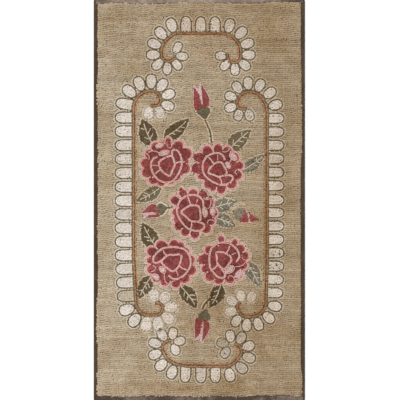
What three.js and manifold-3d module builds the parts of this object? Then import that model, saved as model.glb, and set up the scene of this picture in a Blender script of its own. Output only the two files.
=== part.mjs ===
// Hooked rug: wool strips pulled up as a short loop pile through a woven foundation cloth, whose
// four raw edges are bound with folded cotton tape.
// Millimetres, +Z up. The rug lies flat with its pile up: X runs across its width and Y along its
// length, and the origin is on the floor under its middle.

import * as THREE from "three";
import { mergeVertices } from "three/addons/utils/BufferGeometryUtils.js";
import Module from "manifold-3d";

// Driving dimensions

const rug = { width: 762, length: 1448, cornerRadius: 5 };
const foundation = { thickness: 1.4 };
const pile = { top: 7.6, edgeTop: 6.6, wallSlope: 0.4, shoulder: 5 };
const tape = { thickness: 1.2, backWidth: 13, cornerWidth: 6, pucker: 0.3, puckerLength: 190 };
const gap = 0.3;

// How wide the tape shows beside the pile, which was hooked up to an uneven line. Each row has a
// place along the edge, from the middle of that edge, and the width of tape that shows there.
const tapeShows = {
  left: [
    { along: -694, width: 12.3 },
    { along: -650, width: 12.6 },
    { along: -560, width: 15.0 },
    { along: -475, width: 11.4 },
    { along: -390, width: 11.2 },
    { along: -300, width: 15.6 },
    { along: -130, width: 13.4 },
    { along: 0, width: 14.9 },
    { along: 120, width: 16.8 },
    { along: 260, width: 15.0 },
    { along: 390, width: 12.8 },
    { along: 500, width: 15.1 },
    { along: 694, width: 14.3 },
  ],
  right: [
    { along: -694, width: 11.6 },
    { along: -650, width: 10.6 },
    { along: -590, width: 14.4 },
    { along: -475, width: 16.0 },
    { along: -350, width: 14.0 },
    { along: -190, width: 15.8 },
    { along: -20, width: 16.4 },
    { along: 110, width: 14.6 },
    { along: 205, width: 11.0 },
    { along: 330, width: 12.2 },
    { along: 450, width: 12.3 },
    { along: 590, width: 15.0 },
    { along: 694, width: 14.6 },
  ],
  top: [
    { along: -352, width: 18.6 },
    { along: -296, width: 12.8 },
    { along: -224, width: 18.2 },
    { along: -160, width: 17.2 },
    { along: -90, width: 13.9 },
    { along: 60, width: 14.2 },
    { along: 192, width: 15.3 },
    { along: 288, width: 11.2 },
    { along: 352, width: 14.0 },
  ],
  bottom: [
    { along: -352, width: 18.2 },
    { along: -288, width: 13.9 },
    { along: -190, width: 18.0 },
    { along: -96, width: 17.4 },
    { along: 0, width: 14.3 },
    { along: 70, width: 18.6 },
    { along: 160, width: 15.2 },
    { along: 230, width: 19.6 },
    { along: 310, width: 20.6 },
    { along: 352, width: 16.2 },
  ],
};

// Soft swells that a used rug keeps when it lies flat. Each is a slow wave of the given height,
// and its lengths are those between crests across the rug and along it.
const swells = [
  { height: 0.35, acrossLength: 540, alongLength: 910, phase: 0.6 },
  { height: 0.25, acrossLength: -310, alongLength: 620, phase: 2.1 },
  { height: 0.2, acrossLength: 1450, alongLength: 235, phase: 4.0 },
];

// The grid of the pile has even cells inside this margin, and a few close ones at each edge.
const evenMargin = 29;
const evenCells = { across: 22, along: 40 };

// Shares of the corner radius at which a strip of tape has a section as it rounds a corner. The
// last three hold the end of the tape, which is tucked in and closes the fold.
const cornerShares = [0, 0.5, 0.76, 0.92, 1];
const tuckSections = 3;

// Over this length a side strip narrows to pass the end of an end strip.
const narrowing = 0.8;

// Sizes worked out from the driving dimensions

const half = { width: rug.width / 2, length: rug.length / 2 };
const hemBase = tape.thickness + gap;
const hemTop = hemBase + foundation.thickness;
const foldHeight = hemTop + gap + tape.thickness;
const foldRadius = foldHeight / 2;
const belowFloor = -1;

// Insets that mark the ends of the two legs in a section of tape, until a strip gives them theirs.
const legEnd = { back: 2 * tape.backWidth, face: 3 * tape.backWidth };

function evenStations(halfSize, cells) {
  const reach = halfSize - evenMargin;
  return Array.from({ length: cells + 1 }, (_, i) => -reach + (2 * reach * i) / cells);
}

const stations = {
  across: evenStations(half.width, evenCells.across),
  along: evenStations(half.length, evenCells.along),
};

// The visible width of the tape at a place along an edge, eased from row to row.
function shownWidth(rows, along) {
  const next = rows.findIndex((row) => row.along > along);
  if (next === -1) return rows.at(-1).width;
  if (next === 0) return rows[0].width;
  const [before, after] = [rows[next - 1], rows[next]];
  const share = (along - before.along) / (after.along - before.along);
  return THREE.MathUtils.lerp(before.width, after.width, THREE.MathUtils.smoothstep(share, 0, 1));
}

// How far the rug's rounded corner is drawn in from its straight edge.
function cornerInset(along, halfSize) {
  const past = THREE.MathUtils.clamp(
    Math.abs(along) - (halfSize - rug.cornerRadius),
    0,
    rug.cornerRadius,
  );
  return rug.cornerRadius - Math.sqrt(rug.cornerRadius ** 2 - past ** 2);
}

function swellAt(x, y) {
  return swells.reduce((sum, swell) => {
    const turn = 2 * Math.PI * (x / swell.acrossLength + y / swell.alongLength);
    return sum + swell.height * Math.sin(turn + swell.phase);
  }, 0);
}

// Joining and cutting

const wasm = await Module();
wasm.setup();

function toSolid(geometry) {
  const bare = geometry.clone();
  bare.deleteAttribute("normal");
  bare.deleteAttribute("uv");
  const merged = mergeVertices(bare);
  return new wasm.Manifold(
    new wasm.Mesh({
      numProp: 3,
      vertProperties: merged.attributes.position.array,
      triVerts: new Uint32Array(merged.index.array),
    }),
  );
}

function toGeometry(solid) {
  const mesh = solid.getMesh();
  const geometry = new THREE.BufferGeometry();
  geometry.setAttribute("position", new THREE.BufferAttribute(mesh.vertProperties, 3));
  geometry.setIndex(new THREE.BufferAttribute(mesh.triVerts, 1));
  geometry.computeVertexNormals();
  return geometry;
}

// Foundation cloth and pile

// The close lines at one edge of the grid, from the raw edge of the foundation to the full height
// of the pile: how far each lies in from the rug's edge, and its top and underside there.
function edgeLines(width) {
  const wall = width + gap;
  return [
    { inset: foldRadius, top: hemTop, base: hemBase },
    { inset: wall, top: hemTop, base: hemBase },
    { inset: wall + pile.wallSlope, top: pile.edgeTop, base: hemBase },
    { inset: wall + pile.shoulder, top: pile.top, base: hemBase },
  ];
}

const edgeLineCount = edgeLines(0).length;

function gridLine(index, even, halfSize, lowWidth, highWidth) {
  const inward = index - edgeLineCount;
  if (inward < 0) {
    const line = edgeLines(lowWidth)[index];
    return { ...line, at: -halfSize + line.inset };
  }
  if (inward < even.length) return { at: even[inward], top: pile.top, base: belowFloor };
  const line = edgeLines(highWidth)[even.length + edgeLineCount - 1 - inward];
  return { ...line, at: halfSize - line.inset };
}

// A box of many cells has its points moved to the pile's outline, its swells and the thin hem,
// and the floor then trims the underside flat.
function hookedField() {
  const cells = {
    across: evenCells.across + 2 * edgeLineCount,
    along: evenCells.along + 2 * edgeLineCount,
  };
  const evenPlace = (list, index) =>
    list[THREE.MathUtils.clamp(index - edgeLineCount, 0, list.length - 1)];
  const size = [cells.across, cells.along, 1];
  const geometry = new THREE.BoxGeometry(...size, ...size);
  const points = geometry.attributes.position;
  for (let n = 0; n < points.count; n += 1) {
    const column = Math.round(points.getX(n) + cells.across / 2);
    const row = Math.round(points.getY(n) + cells.along / 2);
    const nearX = evenPlace(stations.across, column);
    const nearY = evenPlace(stations.along, row);
    const across = gridLine(
      column,
      stations.across,
      half.width,
      shownWidth(tapeShows.left, nearY),
      shownWidth(tapeShows.right, nearY),
    );
    const along = gridLine(
      row,
      stations.along,
      half.length,
      shownWidth(tapeShows.bottom, nearX),
      shownWidth(tapeShows.top, nearX),
    );
    const atCorner = across.inset === foldRadius && along.inset === foldRadius;
    const ease = atCorner ? cornerInset(half.width - foldRadius, half.width) : 0;
    const x = across.at - Math.sign(across.at) * ease;
    const y = along.at - Math.sign(along.at) * ease;
    const top = Math.min(across.top, along.top);
    const swell = top === pile.top ? swellAt(x, y) : 0;
    const z = points.getZ(n) > 0 ? top + swell : Math.max(across.base, along.base);
    points.setXYZ(n, x, y, z);
  }
  const belowDepth = 20;
  const below = new THREE.BoxGeometry(2 * rug.width, 2 * rug.length, belowDepth);
  below.translate(0, 0, -belowDepth / 2);
  return toGeometry(toSolid(geometry).subtract(toSolid(below)));
}

// Binding tape

// The tape's section, as inset from the rug's edge and height: a back leg on the floor, a round
// fold, and a face leg.
function tapeOutline() {
  const outline = new THREE.Shape();
  outline.moveTo(legEnd.back, 0);
  outline.lineTo(legEnd.back, tape.thickness);
  outline.lineTo(foldRadius, tape.thickness);
  const inner = foldRadius - tape.thickness;
  outline.absarc(foldRadius, foldRadius, inner, -Math.PI / 2, Math.PI / 2, true);
  outline.lineTo(legEnd.face, foldHeight - tape.thickness);
  outline.lineTo(legEnd.face, foldHeight);
  outline.lineTo(foldRadius, foldHeight);
  outline.absarc(foldRadius, foldRadius, foldRadius, Math.PI / 2, (3 * Math.PI) / 2, false);
  outline.closePath();
  return outline;
}

// The solid section of a tucked end.
function tuckOutline() {
  const outline = new THREE.Shape();
  outline.moveTo(legEnd.back, 0);
  outline.lineTo(legEnd.face, foldHeight);
  outline.lineTo(foldRadius, foldHeight);
  outline.absarc(foldRadius, foldRadius, foldRadius, Math.PI / 2, (3 * Math.PI) / 2, false);
  outline.closePath();
  return outline;
}

// A section swept along an edge through a list of places, X inward from the edge and Y along it.
// It follows the rug's rounded corners, its legs are as wide as legsAt says, and it puckers.
function alongEdge(outline, places, legsAt) {
  const steps = places.length - 1;
  const curveSegments = 3;
  const settings = { depth: steps, steps, bevelEnabled: false, curveSegments };
  const geometry = new THREE.ExtrudeGeometry(outline, settings);
  const points = geometry.attributes.position;
  for (let n = 0; n < points.count; n += 1) {
    const along = places[steps - Math.round(points.getZ(n))];
    const height = points.getY(n);
    const legs = legsAt(along);
    let inset = points.getX(n);
    if (inset === legEnd.back) inset = legs.back;
    if (inset === legEnd.face) inset = legs.face;
    const kept = Math.max(0, 1 - inset / tape.cornerWidth);
    const turn = (2 * Math.PI * along) / tape.puckerLength;
    const lift = tape.pucker * Math.sin(turn) ** 2 * Math.max(0, height / foldRadius - 1);
    points.setXYZ(n, inset + cornerInset(along, half.length) * kept, along, height + lift);
  }
  return geometry;
}

// Side strips run the full length and round the corners, tucked at both ends. They are narrow
// where an end strip lies beside them, from its inner edge at passStart and at passEnd.
function sideStrip(rows, passStart, passEnd) {
  const corner = cornerShares.map((share) => half.length - rug.cornerRadius * (1 - share));
  const places = [
    ...corner.map((y) => -y).reverse(),
    passStart,
    passStart + narrowing,
    ...stations.along,
    passEnd - narrowing,
    passEnd,
    ...corner,
  ];
  const narrow = { back: tape.cornerWidth, face: tape.cornerWidth };
  const legsAt = (along) =>
    along <= passStart || along >= passEnd
      ? narrow
      : { back: tape.backWidth, face: shownWidth(rows, along) };
  const open = toSolid(alongEdge(tapeOutline(), places, legsAt));
  const tucks = [places.slice(0, tuckSections), places.slice(-tuckSections)];
  return tucks.reduce(
    (strip, ends) => strip.add(toSolid(alongEdge(tuckOutline(), ends, legsAt))),
    open,
  );
}

// End strips run between the narrow ends of the side strips.
function endStrip(rows) {
  const reach = half.width - tape.cornerWidth - gap;
  const legsAt = (along) => ({ back: tape.backWidth, face: shownWidth(rows, along) });
  return toSolid(alongEdge(tapeOutline(), [-reach, ...stations.across, reach], legsAt));
}

// Strips that are turned to run backwards along their edge read its rows the other way.
function reversed(rows) {
  return rows.map((row) => ({ along: -row.along, width: row.width })).reverse();
}

// Assembly

function fabric(color, roughness) {
  return new THREE.MeshStandardMaterial({ color, roughness, metalness: 0 });
}

const hookedWool = fabric(0xaa967c, 0.95);
const darkTape = fabric(0x594838, 0.9);
const taupeTape = fabric(0x77685c, 0.9);

const group = new THREE.Group();

function addPiece(name, geometry, material) {
  const mesh = new THREE.Mesh(geometry, material);
  mesh.name = name;
  group.add(mesh);
}

addPiece("hooked_field", hookedField(), hookedWool);

// The line that a side strip is narrow from, beside the end of an end strip.
function passLine(rows, side) {
  return half.length - shownWidth(rows, side * half.width) - gap;
}

const left = sideStrip(
  tapeShows.left,
  -passLine(tapeShows.bottom, -1),
  passLine(tapeShows.top, -1),
);
addPiece("binding_left", toGeometry(left).translate(-half.width, 0, 0), darkTape);

const right = sideStrip(
  reversed(tapeShows.right),
  -passLine(tapeShows.top, 1),
  passLine(tapeShows.bottom, 1),
);
const rightShape = toGeometry(right).rotateZ(Math.PI).translate(half.width, 0, 0);
addPiece("binding_right", rightShape, darkTape);

const topShape = toGeometry(endStrip(tapeShows.top)).rotateZ(-Math.PI / 2);
addPiece("binding_top", topShape.translate(0, half.length, 0), taupeTape);

const bottomShape = toGeometry(endStrip(reversed(tapeShows.bottom))).rotateZ(Math.PI / 2);
addPiece("binding_bottom", bottomShape.translate(0, -half.length, 0), taupeTape);

export default group;
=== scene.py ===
"""A hand-hooked rug: woollen loops on a woven foundation, bound with folded cotton tape.

It is laid out as a Blender add-on and run as a script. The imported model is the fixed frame, in
metres, with the rug flat on the floor: X runs across its width and Y along its length.
"""

import math
from collections import namedtuple

import bmesh
import bpy
import numpy as np
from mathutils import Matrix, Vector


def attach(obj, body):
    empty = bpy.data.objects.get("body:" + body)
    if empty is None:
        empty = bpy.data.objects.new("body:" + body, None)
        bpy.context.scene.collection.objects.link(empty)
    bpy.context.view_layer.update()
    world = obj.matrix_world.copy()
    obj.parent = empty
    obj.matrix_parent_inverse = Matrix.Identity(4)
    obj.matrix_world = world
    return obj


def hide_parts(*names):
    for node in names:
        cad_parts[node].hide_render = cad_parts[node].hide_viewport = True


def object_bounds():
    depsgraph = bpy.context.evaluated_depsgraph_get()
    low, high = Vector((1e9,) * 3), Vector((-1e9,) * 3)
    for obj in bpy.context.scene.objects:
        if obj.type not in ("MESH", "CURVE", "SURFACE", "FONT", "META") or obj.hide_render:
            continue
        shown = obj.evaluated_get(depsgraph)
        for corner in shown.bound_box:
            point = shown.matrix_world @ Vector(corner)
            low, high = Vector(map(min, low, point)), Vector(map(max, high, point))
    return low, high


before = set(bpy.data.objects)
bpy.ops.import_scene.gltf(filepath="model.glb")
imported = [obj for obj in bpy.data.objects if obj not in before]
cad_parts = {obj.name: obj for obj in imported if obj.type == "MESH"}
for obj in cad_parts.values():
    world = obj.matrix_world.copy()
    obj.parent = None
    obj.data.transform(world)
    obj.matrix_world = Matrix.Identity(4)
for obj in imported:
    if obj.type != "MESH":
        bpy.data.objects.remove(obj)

bl_info = {
    "name": "Hooked rug",
    "version": (1, 0, 0),
    "blender": (4, 5, 0),
    "location": "3D View > Sidebar > Rug",
    "description": "Builds a hand-hooked rug of loops, cloth and binding tape",
    "category": "Add Mesh",
}

MM = 0.001
CAD_LOW, CAD_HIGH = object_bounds()

# The rug's outer size and its layers, in millimetres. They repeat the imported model's.
HALF_WIDTH = CAD_HIGH.x / MM
HALF_LENGTH = CAD_HIGH.y / MM
CORNER_RADIUS = 5.0
TAPE_THICKNESS = 1.2
TAPE_GAP = 0.3
BACK_WIDTH = 13.0
CORNER_WIDTH = 6.0
FOLD_RADIUS = 2.2
FOLD_HEIGHT = 4.4
HEM_BASE = 1.5
HEM_FLAT = 20.0
HEM_REACH = 29.0
CLOTH_THICKNESS = 1.4
CLOTH_LIFT = 0.15
PILE_SHOULDER = 5.0

Swell = namedtuple("Swell", "height across along phase")
SWELLS = (Swell(0.35, 540, 910, 0.6), Swell(0.25, -310, 620, 2.1), Swell(0.2, 1450, 235, 4.0))

# Sizes of the pattern, in millimetres on the rug as it lies: X across it and Y along it.

Leg = namedtuple("Leg", "run radius turn")
Arm = namedtuple(
    "Arm",
    "x y heading hand legs tail first pitch curl_pitch count reach length width rust thin faint"
)
Petal = namedtuple("Petal", "angle reach half_width")
Oval = namedtuple("Oval", "angle distance half_length half_width")
Rose = namedtuple("Rose", "x y size opening cup_deep cup_wide heart seed petals ovals")
Leaf = namedtuple("Leaf", "base_x base_y tip_x tip_y width bend region seed")
Bud = namedtuple("Bud", "x y heading length width hand lean form stem")
Strand = namedtuple("Strand", "row loop height")

# Each kind of strand: how wide its rows are, how long a loop is along the row, and how high.
STRANDS = {
    "ground": Strand(7.3, 5.4, 1.0),
    "contour": Strand(6.2, 5.2, 1.0),
    "ivory": Strand(5.7, 5.4, 1.0),
    "outline": Strand(4.1, 5.0, 1.02),
    "rust": Strand(4.4, 4.8, 0.98),
    "ochre": Strand(4.4, 4.8, 0.98),
    "rose": Strand(5.4, 5.0, 1.0),
    "pink": Strand(3.7, 4.8, 1.02),
    "shell": Strand(4.8, 4.6, 1.02),
    "leaf_dark": Strand(5.2, 4.8, 0.98),
    "leaf_grey": Strand(5.2, 4.8, 0.98),
    "vein": Strand(4.0, 4.6, 1.02),
    "bud": Strand(5.2, 4.7, 1.0),
    "stem": Strand(4.8, 4.6, 0.98),
}
# How much longer a loop is than its share of the row, how far it drifts across the row in
# millimetres and along it in shares of a loop, and how far apart the rows of a bud are.
LOOP_OVERLAP = 1.12
LOOP_DRIFT = 0.25
LOOP_SHIFT = 0.1
BUD_ROW = 4.7

GROUND, SCALLOP, ROSE, LEAF_DARK, LEAF_GREY, BUD, CALYX, SHELL, TAPE = range(9)
REGION_WOOL = {
    GROUND: "ground",
    SCALLOP: "ivory",
    ROSE: "rose",
    LEAF_DARK: "leaf_dark",
    LEAF_GREY: "leaf_grey",
    BUD: "bud",
    CALYX: "stem",
    SHELL: "shell",
}


# The scroll lines. Each arm sets out from the middle of one side of the frame, runs and turns by
# its legs, and carries scallops on its outer side.
ARMS = {
    "left_upper": Arm(-236, 0, 90, -1, (Leg(329, 63, 90), Leg(0, 33, 90), Leg(0, 18, 90),
                      Leg(20, 0, 0)), (Leg(0, 3, 60),), 47, 50, 43, 16, 38.8, 60, 43, -3,
                      0.12, 0.9),
    "left_lower": Arm(-236, 0, -90, 1, (Leg(180, 900, 3), Leg(145, 44, 87), Leg(26, 24, 90),
                      Leg(0, 17, 90), Leg(8, 0, 0)), (Leg(0, 3, 60),), 3, 49.2, 44, 17,
                      38.8, 60, 44, -3, 0.05, 0.25),
    "right_upper": Arm(241, 0, 90, 1, (Leg(308, 100, 30), Leg(0, 56, 60), Leg(0, 39, 90),
                       Leg(0, 15, 90), Leg(17, 0, 0)), (Leg(0, 3, 60),), 51, 48.6, 43, 16,
                       38, 55, 39.5, 0, 0.08, 2),
    "right_lower": Arm(241, 0, -90, -1, (Leg(200, 1400, 2), Leg(118, 52, 88), Leg(10, 33, 90),
                       Leg(0, 10, 90)), (Leg(22, 3, 40),), -2, 48.2, 42, 17, 38, 55, 39.5, 0,
                       0.08, 0.6),
    "top_left": Arm(0, 594, 180, 1, (Leg(78, 24, 40), Leg(22, 55, 50), Leg(8, 18, 135),
                    Leg(10, 0, 0)), (Leg(0, 3, 150),), 48, 52, 40, 13, 40, 57, 42, 3, 0.2, 2),
    "top_right": Arm(0, 594, 0, -1, (Leg(78, 65, 60), Leg(0, 60, 30), Leg(12, 17, 180),
                     Leg(8, 0, 0)), (Leg(0, 3, 40),), 5, 52, 41, 12, 39, 56, 41, 3, 0.15, 2),
    "bottom_left": Arm(0, -596, 180, -1, (Leg(34, 160, 20), Leg(0, 60, 45), Leg(12, 24, 115),
                       Leg(6, 0, 0)), (Leg(0, 3, 205),), 50, 50, 41, 12, 36.5, 55, 41, -1,
                       0.12, 2),
    "bottom_right": Arm(0, -597, 0, 1, (Leg(90, 50, 48), Leg(22, 26, 120)),
                        (Leg(12, 3, 60), Leg(6, 3, 135)), 6, 52, 42, 13, 36.5, 55, 41, -1,
                        0.12, 2),
}

# The outer petals of each rose, as directions in degrees and sizes in shares of the rose's own.
PETALS = (
    ((-16, 0.93, 0.20), (5, 0.86, 0.20), (27, 1.05, 0.22), (56, 1.0, 0.19), (86, 0.99, 0.12),
     (104, 0.88, 0.14), (124, 0.95, 0.19), (152, 0.93, 0.20), (180, 1.0, 0.18),
     (205, 1.04, 0.19), (230, 1.0, 0.18), (254, 0.92, 0.15), (283, 0.83, 0.18),
     (307, 0.80, 0.17)),
    ((11, 0.95, 0.16), (40, 0.93, 0.22), (68, 0.97, 0.17), (95, 1.01, 0.17), (124, 1.08, 0.18),
     (149, 1.12, 0.18), (178, 1.07, 0.20), (200, 0.93, 0.14), (232, 0.92, 0.17),
     (250, 0.91, 0.15), (274, 0.97, 0.17), (310, 0.93, 0.21), (342, 0.92, 0.18)),
    ((2, 0.90, 0.19), (38, 0.91, 0.20), (66, 0.94, 0.18), (94, 0.97, 0.18), (120, 1.08, 0.15),
     (146, 1.10, 0.17), (176, 0.90, 0.16), (198, 0.87, 0.17), (218, 0.98, 0.17),
     (243, 0.99, 0.16), (271, 1.0, 0.17), (308, 0.94, 0.19), (335, 0.88, 0.18)),
    ((10, 0.97, 0.17), (-18, 1.04, 0.20), (38, 0.90, 0.20), (60, 0.94, 0.17), (79, 0.94, 0.17),
     (118, 0.98, 0.22), (148, 1.04, 0.18), (172, 0.94, 0.14), (198, 0.96, 0.17),
     (226, 0.96, 0.18), (253, 0.92, 0.18), (285, 0.99, 0.17), (314, 1.0, 0.20)),
    ((14, 0.98, 0.20), (38, 0.97, 0.18), (62, 0.98, 0.12), (99, 1.02, 0.13), (143, 0.93, 0.18),
     (175, 1.01, 0.21), (202, 0.98, 0.15), (226, 1.02, 0.18), (252, 0.95, 0.19),
     (288, 0.91, 0.19), (318, 0.94, 0.18), (348, 0.92, 0.17)),
)

# The pale spots in the open side of each rose, set out in the same way.
OVALS = (
    ((112, 0.70, 0.14, 0.08), (105, 0.39, 0.19, 0.085)),
    ((44, 0.68, 0.17, 0.10), (28, 0.34, 0.13, 0.07)),
    ((7, 0.665, 0.15, 0.085), (8, 0.38, 0.19, 0.085)),
    ((223, 0.725, 0.14, 0.09), (220, 0.38, 0.14, 0.09)),
    ((-42, 0.71, 0.16, 0.11), (-58, 0.36, 0.19, 0.12)),
)

ROSES = (
    Rose(-117, 132, 100, 110, 0.58, 0.54, 0.95, 3, PETALS[0], OVALS[0]),
    Rose(74, 110, 98, 21, 0.52, 0.58, 0.9, 5, PETALS[1], OVALS[1]),
    Rose(-17, -49, 98, 0, 0.56, 0.62, 1.0, 11, PETALS[2], OVALS[2]),
    Rose(-104, -228, 99, 225, 0.62, 0.60, 1.0, 8, PETALS[3], OVALS[3]),
    Rose(91, -221, 98, -41, 0.58, 0.58, 0.9, 14, PETALS[4], OVALS[4]),
)

LEAVES = (
    Leaf(-166, 196, -205, 294, 34, 4, LEAF_DARK, 1),
    Leaf(-125, 225, -38, 293, 27, -5, LEAF_DARK, 2),
    Leaf(106, 180, 186, 252, 30, 3, LEAF_DARK, 3),
    Leaf(155, 106, 235, 163, 22, -3, LEAF_GREY, 4),
    Leaf(-142, 43, -227, -5, 24, 3, LEAF_DARK, 5),
    Leaf(52, -28, 133, -8, 25, 2, LEAF_GREY, 6),
    Leaf(56, -62, 131, -95, 24, 2, LEAF_GREY, 7),
    Leaf(-155, -172, -205, -82, 32, 3, LEAF_DARK, 8),
    Leaf(-174, -276, -217, -356, 26, -3, LEAF_DARK, 9),
    Leaf(-66, -312, -10, -389, 28, 4, LEAF_DARK, 10),
    Leaf(78, -306, 38, -388, 27, 4, LEAF_DARK, 12),
    Leaf(170, -226, 217, -311, 26, 3, LEAF_GREY, 13),
)
# Leaves, by number, that have faded to olive.
FADED_LEAVES = (3, 5)

BUDS = (
    Bud(10, 327, 96, 90, 28, 1, 0, "open", ((20, 288), (31, 266), (40, 240), (44, 206))),
    Bud(-145, -38, 185, 64, 24, 1, 0.4, "open", ((-122, -32), (-112, -28), (-96, -26))),
    Bud(152, -56, -12, 66, 24, -1, 0, "closed", ((124, -42), (114, -38), (100, -34))),
    Bud(12, -427, -95, 84, 27, -1, 0, "open",
        ((12, -392), (18, -378), (26, -368), (36, -358))),
)

# Pale rows over the calyx of the bud on the right.
SEPALS = (
    ((104, -24), (128, -13), (150, -9), (168, -12)),
    ((106, -30), (128, -19), (150, -15), (166, -18)),
    ((108, -36), (126, -26), (144, -21)),
    ((112, -42), (124, -33), (134, -28)),
)


LINE_STEP = 2.0


def turtle(arm, legs):
    """The line of an arm's straight runs and round turns, and how far it has turned by then."""
    x, y, angle = arm.x, arm.y, math.radians(arm.heading)
    points, turned, total = [(x, y)], [0.0], 0.0
    for leg in legs:
        bend = math.radians(leg.turn)
        for length, turn in ((leg.run, 0.0), (leg.radius * bend, bend)):
            count = math.ceil(length / LINE_STEP)
            for _ in range(count):
                angle += arm.hand * turn / count / 2
                x += math.cos(angle) * length / count
                y += math.sin(angle) * length / count
                angle += arm.hand * turn / count / 2
                total += math.degrees(turn) / count
                points.append((x, y))
                turned.append(total)
    return np.array(points), np.array(turned)


def normals(points):
    """Unit vectors to the left of a line's direction."""
    ahead = np.gradient(points, axis=0)
    ahead /= np.maximum(np.hypot(ahead[:, 0], ahead[:, 1]), 1e-9)[:, None]
    return np.stack([-ahead[:, 1], ahead[:, 0]], axis=1)


def along(points):
    """Distance along a line, at each of its points."""
    steps = np.hypot(*np.diff(points, axis=0).T)
    return np.concatenate([[0.0], np.cumsum(steps)])


# A curl draws its scallops in. It is full at this turn, in degrees, and by then their distance,
# length and spacing have lost these shares.
FULL_CURL = 230
CURL_REACH = 0.26
CURL_LENGTH = 0.15
CURL_PITCH = 0.08
Scallop = namedtuple("Scallop", "x y heading half_length half_width share")


def scallops(arm):
    """The scallops along an arm, each with the share of a full curl at its place."""
    line, turned = turtle(arm, arm.legs + arm.tail)
    outward = -arm.hand * normals(line)
    curl = np.clip(turned / FULL_CURL, 0, 1)
    path = line + outward * (arm.reach * (1 - CURL_REACH * curl))[:, None]
    length = along(path)
    found, at = [], float(arm.first)
    while len(found) < arm.count and at <= length[-1]:
        share = float(np.interp(at, length, curl))
        x, y, out_x, out_y = (float(np.interp(at, length, row)) for row in (*path.T, *outward.T))
        found.append(Scallop(x, y, math.atan2(out_y, out_x),
                             arm.length / 2 * (1 - CURL_LENGTH * share),
                             arm.width / 2 * (1 - arm.thin * share), share))
        straight = np.clip(1 - share * 3, 0, 1)
        curled = arm.curl_pitch * (1 - CURL_PITCH * share)
        at += curled * (1 - straight) + arm.pitch * straight
    return found


def spline(p0, p1, p2, p3, t):
    """Points of a smooth line, a share of the way from p1 to p2."""
    bend = 2 * p0 - 5 * p1 + 4 * p2 - p3
    turn = 3 * (p1 - p2) + p3 - p0
    return 0.5 * (2 * p1 + (p2 - p0) * t + bend * t**2 + turn * t**3)


def smooth_closed(points, count=120):
    """A smooth closed line through a few points."""
    points = np.asarray(points, float)
    places = np.arange(count) / count * len(points)
    low = np.floor(places).astype(int)
    near = (points[(low + k) % len(points)] for k in (-1, 0, 1, 2))
    return spline(*near, (places - low)[:, None])


def smooth_open(points, count=90):
    """A smooth line through a few points, from the first to the last."""
    points = np.asarray(points, float)
    ends = np.vstack([2 * points[0] - points[1], points, 2 * points[-1] - points[-2]])
    places = np.linspace(0, len(points) - 1.001, count)
    low = places.astype(int)
    return spline(*(ends[low + k] for k in range(4)), (places - low)[:, None])


def moved(points, x, y, size, heading):
    """Points of a unit shape, turned and set in place on the rug."""
    points = np.asarray(points, float) * size
    c, s = math.cos(math.radians(heading)), math.sin(math.radians(heading))
    return np.stack([x + c * points[:, 0] - s * points[:, 1],
                     y + s * points[:, 0] + c * points[:, 1]], axis=1)


def arc(u, v, a, b, start, end):
    """Part of an ellipse about (u, v), between two angles in degrees."""
    t = np.radians(np.linspace(start, end, 40))
    return np.stack([u + a * np.cos(t), v + b * np.sin(t)], axis=1)


# A full-blown rose as a unit shape that opens towards +u: inside its outer petals, a cup holds a
# heart and three petals. Each short line comes with how many rows wide it is.
HEART = ((-0.48, 0.07), (-0.18, 0.28), (0.13, 0.27), (0.21, 0.03), (0.19, -0.26),
         (-0.13, -0.27), (-0.32, -0.11))
CUP = ((0.35, 0.27), (0.33, 0.46), (0.22, 0.60), (0.04, 0.67), (-0.18, 0.68), (-0.38, 0.62),
       (-0.57, 0.47), (-0.68, 0.25), (-0.69, 0.02), (-0.59, -0.20), (-0.43, -0.40),
       (-0.24, -0.56), (-0.02, -0.63), (0.21, -0.63), (0.36, -0.54), (0.38, -0.42),
       (0.27, -0.34), (0.10, -0.30))
SHORT_LINES = (
    (((-0.14, 0.24), (-0.17, 0.42), (-0.24, 0.58), (-0.32, 0.66)), 1.5),
    (((-0.12, -0.22), (-0.10, -0.42), (-0.16, -0.62)), 1.5),
    (((0.42, 0.10), (0.54, 0.22), (0.60, 0.34), (0.60, 0.50)), 1),
    (arc(0.60, -0.32, 0.12, 0.09, 20, 230), 1),
    (arc(0.46, 0.60, 0.13, 0.08, -170, 20), 1),
    (((0.12, 0.52), (0.04, 0.34)), 1),
)
PETAL_BREADTH = 1.15
ROSE_BODY = 0.78


def rose_outline(rose):
    """The ruffled outline of a rose: how far out its petals reach in each direction."""
    theta = np.arange(0, 360, 1.5)
    out = np.full(len(theta), ROSE_BODY)
    for petal in (Petal(*row) for row in rose.petals):
        off = np.radians(theta - petal.angle)
        half_width = petal.half_width * PETAL_BREADTH
        distance = petal.reach - half_width
        met = np.where(np.cos(off) > 0, half_width**2 - (distance * np.sin(off)) ** 2, -1)
        out = np.maximum(out, np.where(met > 0, distance * np.cos(off) + np.sqrt(abs(met)), 0))
    return theta, out


def rose_ring(rose, inward=0.0):
    """A closed line that follows a rose's outline, a share of its size further in."""
    theta, out = rose_outline(rose)
    t = np.radians(theta)
    reach = (out - inward) * rose.size
    ring = np.stack([rose.x + reach * np.cos(t), rose.y + reach * np.sin(t)], axis=1)
    return np.vstack([ring, ring[:1]])


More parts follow.
